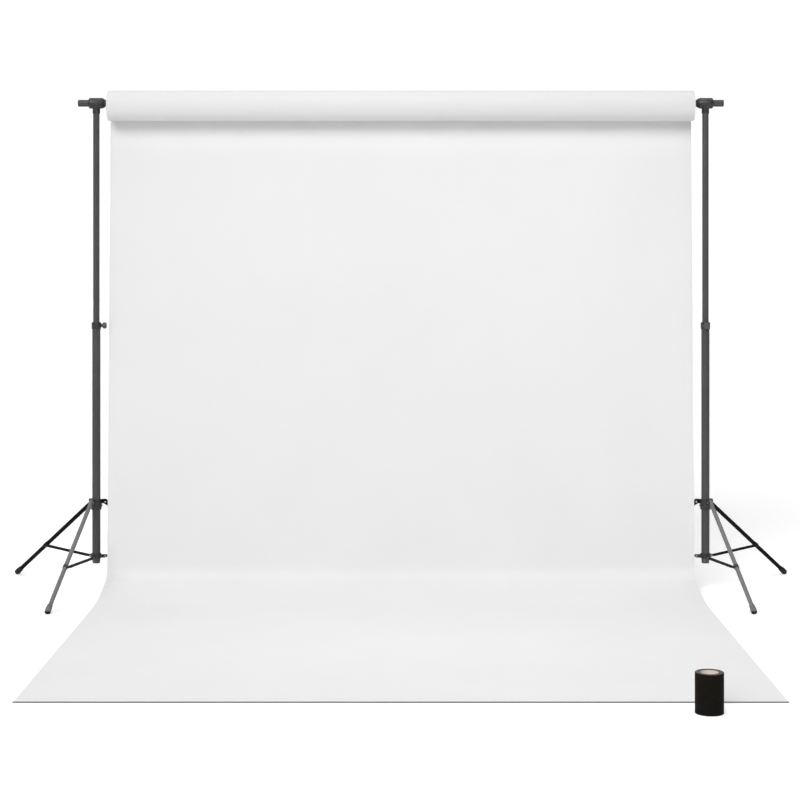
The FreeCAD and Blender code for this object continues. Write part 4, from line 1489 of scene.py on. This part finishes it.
@dataclass
class PaperSheet:
    """The hanging sheet and its sweep on the floor, as one thin closed strip.

    Args:
        palette: The finishes.
        width: The sheet's width.
        thickness: The strip's thickness.
        columns: How many strips it has across.
        ripple: How far the sheet strays from its line.
        edge_run: The length over which the front edge curls up.
        edge_lift: How high the front edge curls.
        travel: How far the roll goes down; not used.
        strip_width: The width of the dark strip over the front edge, which is painted shade.
        strip_skin: The thickness of that strip.
        strip_gap: The gap between that strip and the paper.
        hold: The lengths at the top and at the front edge over which the ripple fades in.
        waves: The ripple's two waves, each by its turn across the sheet and along each metre.
        wave_start: Where the second wave starts.
    """

    palette: Palette
    width: float = 2.720
    thickness: float = 0.0008
    columns: int = 72
    ripple: float = 0.0005
    edge_run: float = 0.050
    edge_lift: float = 0.0022
    travel: float = 0.9
    strip_width: float = 0.008
    strip_skin: float = 0.00025
    strip_gap: float = 0.0001
    hold: tuple[float, float] = (0.25, 0.3)
    waves: tuple[tuple[float, float], tuple[float, float]] = ((9.0, 1.7), (4.0, 2.3))
    wave_start: float = 0.6

    def build(self) -> None:
        column_low, column_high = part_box("left_lower_column")
        roll_low, roll_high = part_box("paper_roll")
        line = SheetLine((column_low.y + column_high.y) / 2, (roll_low.z + roll_high.z) / 2)
        points = line.points()
        item = solid("paper_sheet", self.strip(points), angle=60.0)
        self.palette.dress(item, self.palette.paper, "root", ["paper_drop", "paper_sweep"])
        # The dark strip along the front edge is painted shade.
        strip = self.binding(points)
        for piece in (item, strip):
            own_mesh(piece)

    def binding(self, points: Sequence[tuple[Vector, Vector]]) -> bpy.types.Object:
        """Fold a narrow dark strip over the sheet's front edge, as painted shade along the edge.

        Args:
            points: The sheet's line.

        Returns:
            The strip.
        """
        end = points[-1][0]
        inner = self.thickness / 2 + self.strip_gap
        outer = inner + self.strip_skin
        out, back = end.x - self.strip_skin - self.strip_gap, end.x + self.strip_width
        shape = bmesh.new()
        rows, steps = [], 8
        for step in range(steps + 1):
            y = out + (back - out) * step / steps
            lift = max(0.0, 1 - max(0.0, y - end.x) / self.edge_run) ** 2 * self.edge_lift
            rows.append((y, end.y + lift))
        ring = [(y, z + outer) for y, z in reversed(rows)]
        ring += [(y, z - outer) for y, z in rows]
        ring += [(y, z - inner) for y, z in reversed(rows[1:])]
        ring += [(y, z + inner) for y, z in rows[1:]]
        ends = [[shape.verts.new((side * self.width / 2, y, z)) for y, z in ring]
                for side in (-1, 1)]
        for index, _ in enumerate(ring):
            shape.faces.new((ends[0][index - 1], ends[0][index], ends[1][index],
                             ends[1][index - 1]))
        for corners in ends:
            shape.faces.new(corners)
        bmesh.ops.recalc_face_normals(shape, faces=shape.faces)
        item = solid("paper_sheet_front_binding", shape)
        return self.palette.dress(item, self.palette.binding, "root")

    def strip(self, points: Sequence[tuple[Vector, Vector]]) -> bmesh.types.BMesh:
        """Make the closed strip along the sheet's line.

        Args:
            points: The line's points, each with the way towards the subject.

        Returns:
            The strip's mesh.
        """
        shape = bmesh.new()
        layer = shape.loops.layers.uv.new("UVMap")
        runs = [0.0]
        for (before, _), (after, _) in zip(points, points[1:]):
            runs.append(runs[-1] + (after - before).length)
        whole = runs[-1]
        sides = {1: [], -1: []}
        for (point, way), run in zip(points, runs):
            left = whole - run
            curl = max(0.0, 1 - left / self.edge_run) ** 2 * self.edge_lift
            rise = curl * way.y
            for side, rows in sides.items():
                row = []
                for column in range(self.columns + 1):
                    across = column / self.columns - 0.5
                    wave = self.wave(across, run, whole)
                    place = point + way * (wave + rise + side * self.thickness / 2)
                    row.append(shape.verts.new((across * self.width, place.x, place.y)))
                rows.append(row)

        def patch(corners: Sequence[tuple[bmesh.types.BMVert, float, float]]) -> None:
            """Add one face with its UVs.

            Args:
                corners: Each corner's vertex and its two UV values.
            """
            face = shape.faces.new([vert for vert, _, _ in corners])
            for loop, (_, across, along) in zip(face.loops, corners):
                loop[layer].uv = (across, along)

        front, back = sides[1], sides[-1]
        step = self.width / self.columns
        for index in range(len(points) - 1):
            low, high = runs[index], runs[index + 1]
            for column in range(self.columns):
                after = column + 1
                for rows in (front, back):
                    patch([(rows[index][column], column * step, low),
                           (rows[index][after], after * step, low),
                           (rows[index + 1][after], after * step, high),
                           (rows[index + 1][column], column * step, high)])
            for column in (0, self.columns):
                patch([(front[index][column], 0.0, low), (front[index + 1][column], 0.0, high),
                       (back[index + 1][column], SEAM_RUN, high),
                       (back[index][column], SEAM_RUN, low)])
        for index in (0, len(points) - 1):
            for column in range(self.columns):
                after = column + 1
                patch([(front[index][column], column * step, 0.0),
                       (front[index][after], after * step, 0.0),
                       (back[index][after], after * step, SEAM_RUN),
                       (back[index][column], column * step, SEAM_RUN)])
        bmesh.ops.recalc_face_normals(shape, faces=shape.faces)
        return shape

    def wave(self, across: float, run: float, whole: float) -> float:
        """How far the sheet strays towards the subject at a point.

        Args:
            across: The place across the sheet, from -0.5 to 0.5.
            run: The way along the sheet from its top.
            whole: The sheet's whole length.

        Returns:
            The distance in metres, never towards the floor.
        """
        (turn, climb), (back_turn, back_climb) = self.waves
        slow = (math.sin(across * turn + run * climb)
                * math.sin(run * back_climb - across * back_turn + self.wave_start))
        at_top, at_front = self.hold
        hold = min(1.0, run / at_top) * min(1.0, (whole - run) / at_front)
        return self.ripple * (0.5 + 0.5 * slow) * max(0.0, hold)


@dataclass
class PaperRoll:
    """The wound roll on its core, with the edges of its layers at both ends.

    Args:
        palette: The finishes.
        radius: The roll's radius.
        inner: The radius that the winding starts at.
        layer: The step at the place where the sheet leaves the roll.
        leave: The angle in degrees below +Y at which the sheet leaves.
        turns: How many layers show at an end.
        ridge: The width of a layer's edge.
        edge: The rounding of the roll's rims.
    """

    palette: Palette
    radius: float = 0.0705
    inner: float = 0.03215
    layer: float = 0.0006
    leave: float = 2.85
    turns: int = 34
    ridge: float = 0.00045
    edge: float = 0.0006

    def build(self) -> None:
        """Build the roll and dress its core."""
        low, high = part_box("paper_roll")
        centre = (low + high) / 2
        half = (high.x - low.x) / 2
        self.roll(centre, half)
        self.layers(centre, half)
        core = CoreFinish(
            "kraft_core_board", Slot.CARDBOARD, (0.42, 0.33, 0.24, 1), (0.48, 0.38, 0.28, 1),
            BOARD_ROUGHNESS, specular=0.25, blotch_scale=25.0, grain_scale=900.0,
            grain_depth=0.00006, scuff=(0.27, 0.20, 0.14, 1), centre=tuple(centre))
        self.palette.paint("paper_core", core)

    def roll(self, centre: Vector, half: float) -> None:
        """Build the roll's body, stepped where the sheet leaves it.

        Args:
            centre: The middle of the roll.
            half: Half its width.
        """
        place = Matrix.Translation(centre) @ Matrix.Rotation(math.pi / 2, 4, "Y")
        sharp = [(self.inner, -half), (self.radius, -half), (self.radius, half),
                 (self.inner, half)]
        leave = Vector((0.0, math.cos(math.radians(self.leave)),
                        -math.sin(math.radians(self.leave))))
        local = place.to_3x3().inverted() @ leave
        start = math.atan2(local.y, local.x)
        down = place.to_3x3().inverted() @ Vector((0.0, 0.0, -1.0))
        turn = 1.0 if local.x * down.y - local.y * down.x > 0 else -1.0

        def reach(radius: float, height: float, angle: float) -> float:
            """The radius of the last layer, which is thinner just below the sheet.

            Args:
                radius: The profile's radius.
                height: The place along the roll's axis, which doesn't matter.
                angle: The angle round it.

            Returns:
                The radius at that angle.
            """
            del height
            if radius < self.inner + 0.001:
                return radius
            way = (turn * (angle - start)) % math.tau
            return radius - self.layer * (1 - way / math.tau)

        profile = rounded(sharp, self.edge, (1, 2))
        item = solid("paper_roll_wound", turned(profile, 160, closed=True, radius_at=reach),
                     place, 50.0)
        # The roll wears the sheet's paper darkened as painted shade.
        self.palette.dress(item, self.palette.roll_paper, "roll", ["paper_roll"])

    def layers(self, centre: Vector, half: float) -> None:
        """Build the spiral edges of the layers at both ends.

        Args:
            centre: The middle of the roll.
            half: Half its width.
        """
        finish = WoundFinish(
            "wound_paper_edges", Slot.WHITE_PAPER, grey(0.78), grey(0.72), (0.8, 0.92),
            specular=0.25, blotch_scale=30.0, grain_scale=1200.0, grain_depth=0.00005,
            scuff=grey(0.60, 0.03), centre=tuple(centre))
        material = self.palette.of(finish)
        parts = []
        for end in (-1, 1):
            face = Matrix.Translation(centre + Vector((end * half, 0, 0)))
            turn = Matrix.Rotation(math.pi / 2, 4, "Y")
            ridge = winding(material, self.inner + 0.0004, self.radius - self.layer * 2,
                            self.turns, self.ridge)
            parts.append((ridge, face @ turn))
        item = solid("paper_roll_layers", joined(parts), angle=30.0)
        self.palette.dress(item, finish, "roll")


# -------------------------------------------------------------------------------- tape
@dataclass
class FloorTape:
    """A wide roll of cloth tape standing on end, with its layers at both ends.

    Args:
        palette: The finishes.
        inner: The radius that the winding starts at.
        edge: The rounding of its rims.
        layer: The step where the tape's free end lies.
        turns: How many layers show at an end.
        ridge: The width of a layer's edge.
        free_end: The angle in degrees at which the tape's free end lies.
    """

    palette: Palette
    inner: float = 0.0361
    edge: float = 0.0012
    layer: float = 0.0005
    turns: int = 30
    ridge: float = 0.00036
    free_end: float = 205.0

    def build(self) -> None:
        """Build the tape and dress its core."""
        low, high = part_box("tape_roll")
        centre = Vector(((low.x + high.x) / 2, (low.y + high.y) / 2, 0.0))
        radius, height = (high.x - low.x) / 2, high.z - low.z
        sharp = [(self.inner, 0.0), (radius, 0.0), (radius, height), (self.inner, height)]
        start = math.radians(self.free_end)

        def reach(distance: float, rise: float, angle: float) -> float:
            """The radius of the last layer, up to the tape's free end.

            Args:
                distance: The profile's radius.
                rise: The height, which doesn't matter.
                angle: The angle round the tape's axis.

            Returns:
                The radius at that angle.
            """
            del rise
            if distance < self.inner + 0.001:
                return distance
            return distance - self.layer * (((angle - start) % math.tau) / math.tau)

        place = Matrix.Translation(centre)
        profile = rounded(sharp, self.edge, (1, 2), 4)
        item = solid("tape_roll_wound", turned(profile, 128, closed=True, radius_at=reach),
                     place, 50.0)
        self.palette.dress(item, self.palette.tape, "floor_tape", ["tape_roll"])
        self.layers(centre, radius, height)
        core = CoreFinish(
            "pale_core_board", Slot.CARDBOARD, (0.86, 0.76, 0.70, 1), (0.90, 0.82, 0.76, 1),
            BOARD_ROUGHNESS, specular=0.25, blotch_scale=40.0, grain_scale=1100.0,
            grain_depth=0.00006, scuff=(0.60, 0.48, 0.40, 1), centre=tuple(centre),
            upright=True, rim=height)
        self.palette.paint("tape_core", core)

    def layers(self, centre: Vector, radius: float, height: float) -> None:
        """Build the spiral edges of the layers at the top.

        Args:
            centre: The foot of the tape's axis.
            radius: The tape's radius.
            height: The tape's height.
        """
        finish = WoundFinish(
            "wound_tape_edges", Slot.BLACK_TAPE, grey(0.060, 0.08), grey(0.045, 0.08),
            (0.42, 0.6), blotch_scale=70.0, grain_scale=1300.0, grain_depth=0.00006,
            scuff=grey(0.11, 0.08), centre=tuple(centre), along=(1.0, 1.0, 0.0),
            pitch=(radius - self.inner) / self.turns)
        ridge = winding(self.palette.of(finish), self.inner + 0.0003,
                        radius - self.edge - 0.0002, self.turns, self.ridge)
        place = Matrix.Translation(centre + Vector((0, 0, height)))
        item = solid("tape_roll_layers", ridge, place, 30.0)
        self.palette.dress(item, finish, "floor_tape")


# ---------------------------------------------------------------------------------- studio
@dataclass(frozen=True)
class SoftLight:
    """A rectangular soft light near the object.

    Args:
        name: The light's name.
        place: Where it hangs.
        target: Where it points.
        size: Its width and height.
        power: Its power in watts.
    """

    name: str
    place: tuple[float, float, float]
    target: tuple[float, float, float]
    size: tuple[float, float]
    power: float

    def build(self) -> None:
        """Hang the light."""
        lamp = bpy.data.lights.new(self.name, "AREA")
        lamp.shape = "RECTANGLE"
        lamp.size, lamp.size_y = self.size
        lamp.energy = self.power
        item = bpy.data.objects.new(self.name, lamp)
        bpy.context.scene.collection.objects.link(item)
        item.location = self.place
        way = Vector(self.target) - Vector(self.place)
        item.rotation_euler = way.to_track_quat("-Z", "Y").to_euler()


@dataclass(frozen=True)
class WideLight:
    """A distant soft light that falls evenly over the whole floor.

    Args:
        name: The light's name.
        azimuth: Where it comes from: 0 is the subject's side, and it grows towards +X.
        elevation: Its height above the horizon in degrees.
        spread: How wide it is in degrees.
        strength: Its strength.
    """

    name: str
    azimuth: float
    elevation: float
    spread: float
    strength: float

    def build(self) -> None:
        """Hang the light."""
        lamp = bpy.data.lights.new(self.name, "SUN")
        lamp.energy = self.strength
        lamp.angle = math.radians(self.spread)
        item = bpy.data.objects.new(self.name, lamp)
        bpy.context.scene.collection.objects.link(item)
        turn, rise = math.radians(self.azimuth), math.radians(self.elevation)
        way = Vector((-math.sin(turn) * math.cos(rise), math.cos(turn) * math.cos(rise),
                      -math.sin(rise)))
        item.rotation_euler = way.to_track_quat("-Z", "Y").to_euler()


@dataclass
class Studio:
    """The pale floor, the soft lights and the camera.

    Args:
        eye: The camera's place.
        lens: The lens on a 36 mm sensor.
        shift: The sideways and upwards shift.
        floor_half: Half the side of the floor.
        floor_shine: How much brighter the floor shows than it lights the object.
        surround: The strength of the light from behind the object and from before it.
        backdrop: How bright the surroundings show.
        lights: The lamps.
    """

    eye: tuple[float, float, float] = (0.0, -7.668, 1.612)
    lens: float = 83.475
    shift: tuple[float, float] = (-0.0011, -0.1971)
    floor_half: float = 60.0
    floor_shine: float = 0.27
    surround: tuple[float, float] = (0.40, 0.02)
    backdrop: float = 1.05
    lights: tuple[SoftLight | WideLight, ...] = (
        WideLight("overhead_light", 0.0, 90.0, 60.0, 1.23),
        WideLight("front_light", -24.0, 30.0, 30.0, 1.47),
        SoftLight("upper_light", (0.0, -2.6, 3.4), (0.0, 0.95, 1.7), (3.2, 1.0), 12.3),
        SoftLight("roof_light", (0.0, -1.4, 3.7), (0.0, 1.0, 1.5), (3.6, 0.8), 16.4),
        SoftLight("floor_light", (0.0, -3.6, 2.8), (0.0, -0.9, 0.0), (4.0, 1.2), 9.0),
    )

    def build(self) -> None:
        """Set up the studio."""
        self.camera()
        self.floor()
        self.sky()
        for light in self.lights:
            light.build()
        bpy.context.scene.view_settings.view_transform = "Standard"

    def camera(self) -> None:
        """Place the level camera."""
        data = bpy.data.cameras.new("camera")
        data.sensor_width = 36.0
        data.lens = self.lens
        data.shift_x, data.shift_y = self.shift
        item = bpy.data.objects.new("camera", data)
        bpy.context.scene.collection.objects.link(item)
        item.location = self.eye
        item.rotation_euler = (math.pi / 2, 0.0, 0.0)
        bpy.context.scene.camera = item

    def floor(self) -> None:
        """Lay the pale floor just under the object."""
        shape = bmesh.new()
        half, depth = self.floor_half, -0.0003
        corners = ((-half, -half), (half, -half), (half, half), (-half, half))
        shape.faces.new([shape.verts.new((x, y, depth)) for x, y in corners])
        item = solid("studio_floor", shape)
        finish = Finish("pale_studio_floor", Slot.WHITE_PAPER, grey(0.95), grey(0.96),
                        (0.85, 0.95), specular=0.1, blotch_scale=0.7, grain_scale=60.0,
                        grain_depth=0.00002)
        material = wear(item, finish.material()).data.materials[0]
        board = Wiring(material.node_tree)
        shader = next(node for node in board.tree.nodes if node.type == "BSDF_PRINCIPLED")
        shader.inputs["Emission Color"].default_value = grey(1.0)
        path, glow = board.add("ShaderNodeLightPath"), board.add("ShaderNodeMapRange")
        glow.inputs["To Max"].default_value = self.floor_shine
        board.wire(path.outputs["Is Camera Ray"], glow.inputs["Value"])
        board.wire(glow.outputs["Result"], shader.inputs["Emission Strength"])

    def sky(self) -> None:
        """Surround the studio with a white that lights the object more softly than it shows."""
        world = bpy.data.worlds.new("surround")
        bpy.context.scene.world = world
        world.use_nodes = True
        world.node_tree.nodes.clear()
        board = Wiring(world.node_tree)
        output, mix = board.add("ShaderNodeOutputWorld"), board.add("ShaderNodeMixShader")
        path, way = board.add("ShaderNodeLightPath"), board.add("ShaderNodeTexCoord")
        split, fade = board.add("ShaderNodeSeparateXYZ"), board.add("ShaderNodeMapRange")
        dim, bright = board.add("ShaderNodeBackground"), board.add("ShaderNodeBackground")
        behind, before = self.surround
        numbers = {"From Min": -1.0, "From Max": 1.0, "To Min": before, "To Max": behind}
        for key, number in numbers.items():
            fade.inputs[key].default_value = number
        board.wire(way.outputs["Generated"], split.inputs["Vector"])
        board.wire(split.outputs["Y"], fade.inputs["Value"])
        board.wire(fade.outputs["Result"], dim.inputs["Strength"])
        bright.inputs["Strength"].default_value = self.backdrop
        for shade in (dim, bright):
            shade.inputs["Color"].default_value = (1.0, 1.0, 1.0, 1.0)
        board.wire(path.outputs["Is Camera Ray"], mix.inputs["Fac"])
        board.wire(dim.outputs["Background"], mix.inputs[1])
        board.wire(bright.outputs["Background"], mix.inputs[2])
        board.wire(mix.outputs["Shader"], output.inputs["Surface"])


def main() -> None:
    """Build the studio and every sub-assembly, and report each."""
    logging.basicConfig(level=logging.INFO, format="%(message)s")
    Studio().build()
    LOG.info("studio: floor, lights and camera")
    palette = Palette()
    pieces: list[tuple[str, object]] = [
        (f"{side.word} stand", Stand(side, palette)) for side in Side]
    pieces += [("crossbar", Crossbar(palette)), ("paper roll", PaperRoll(palette)),
               ("paper sheet", PaperSheet(palette)), ("floor tape", FloorTape(palette))]
    for word, piece in pieces:
        piece.build()
        LOG.info("built the %s", word)


if __name__ == "__main__":
    main()
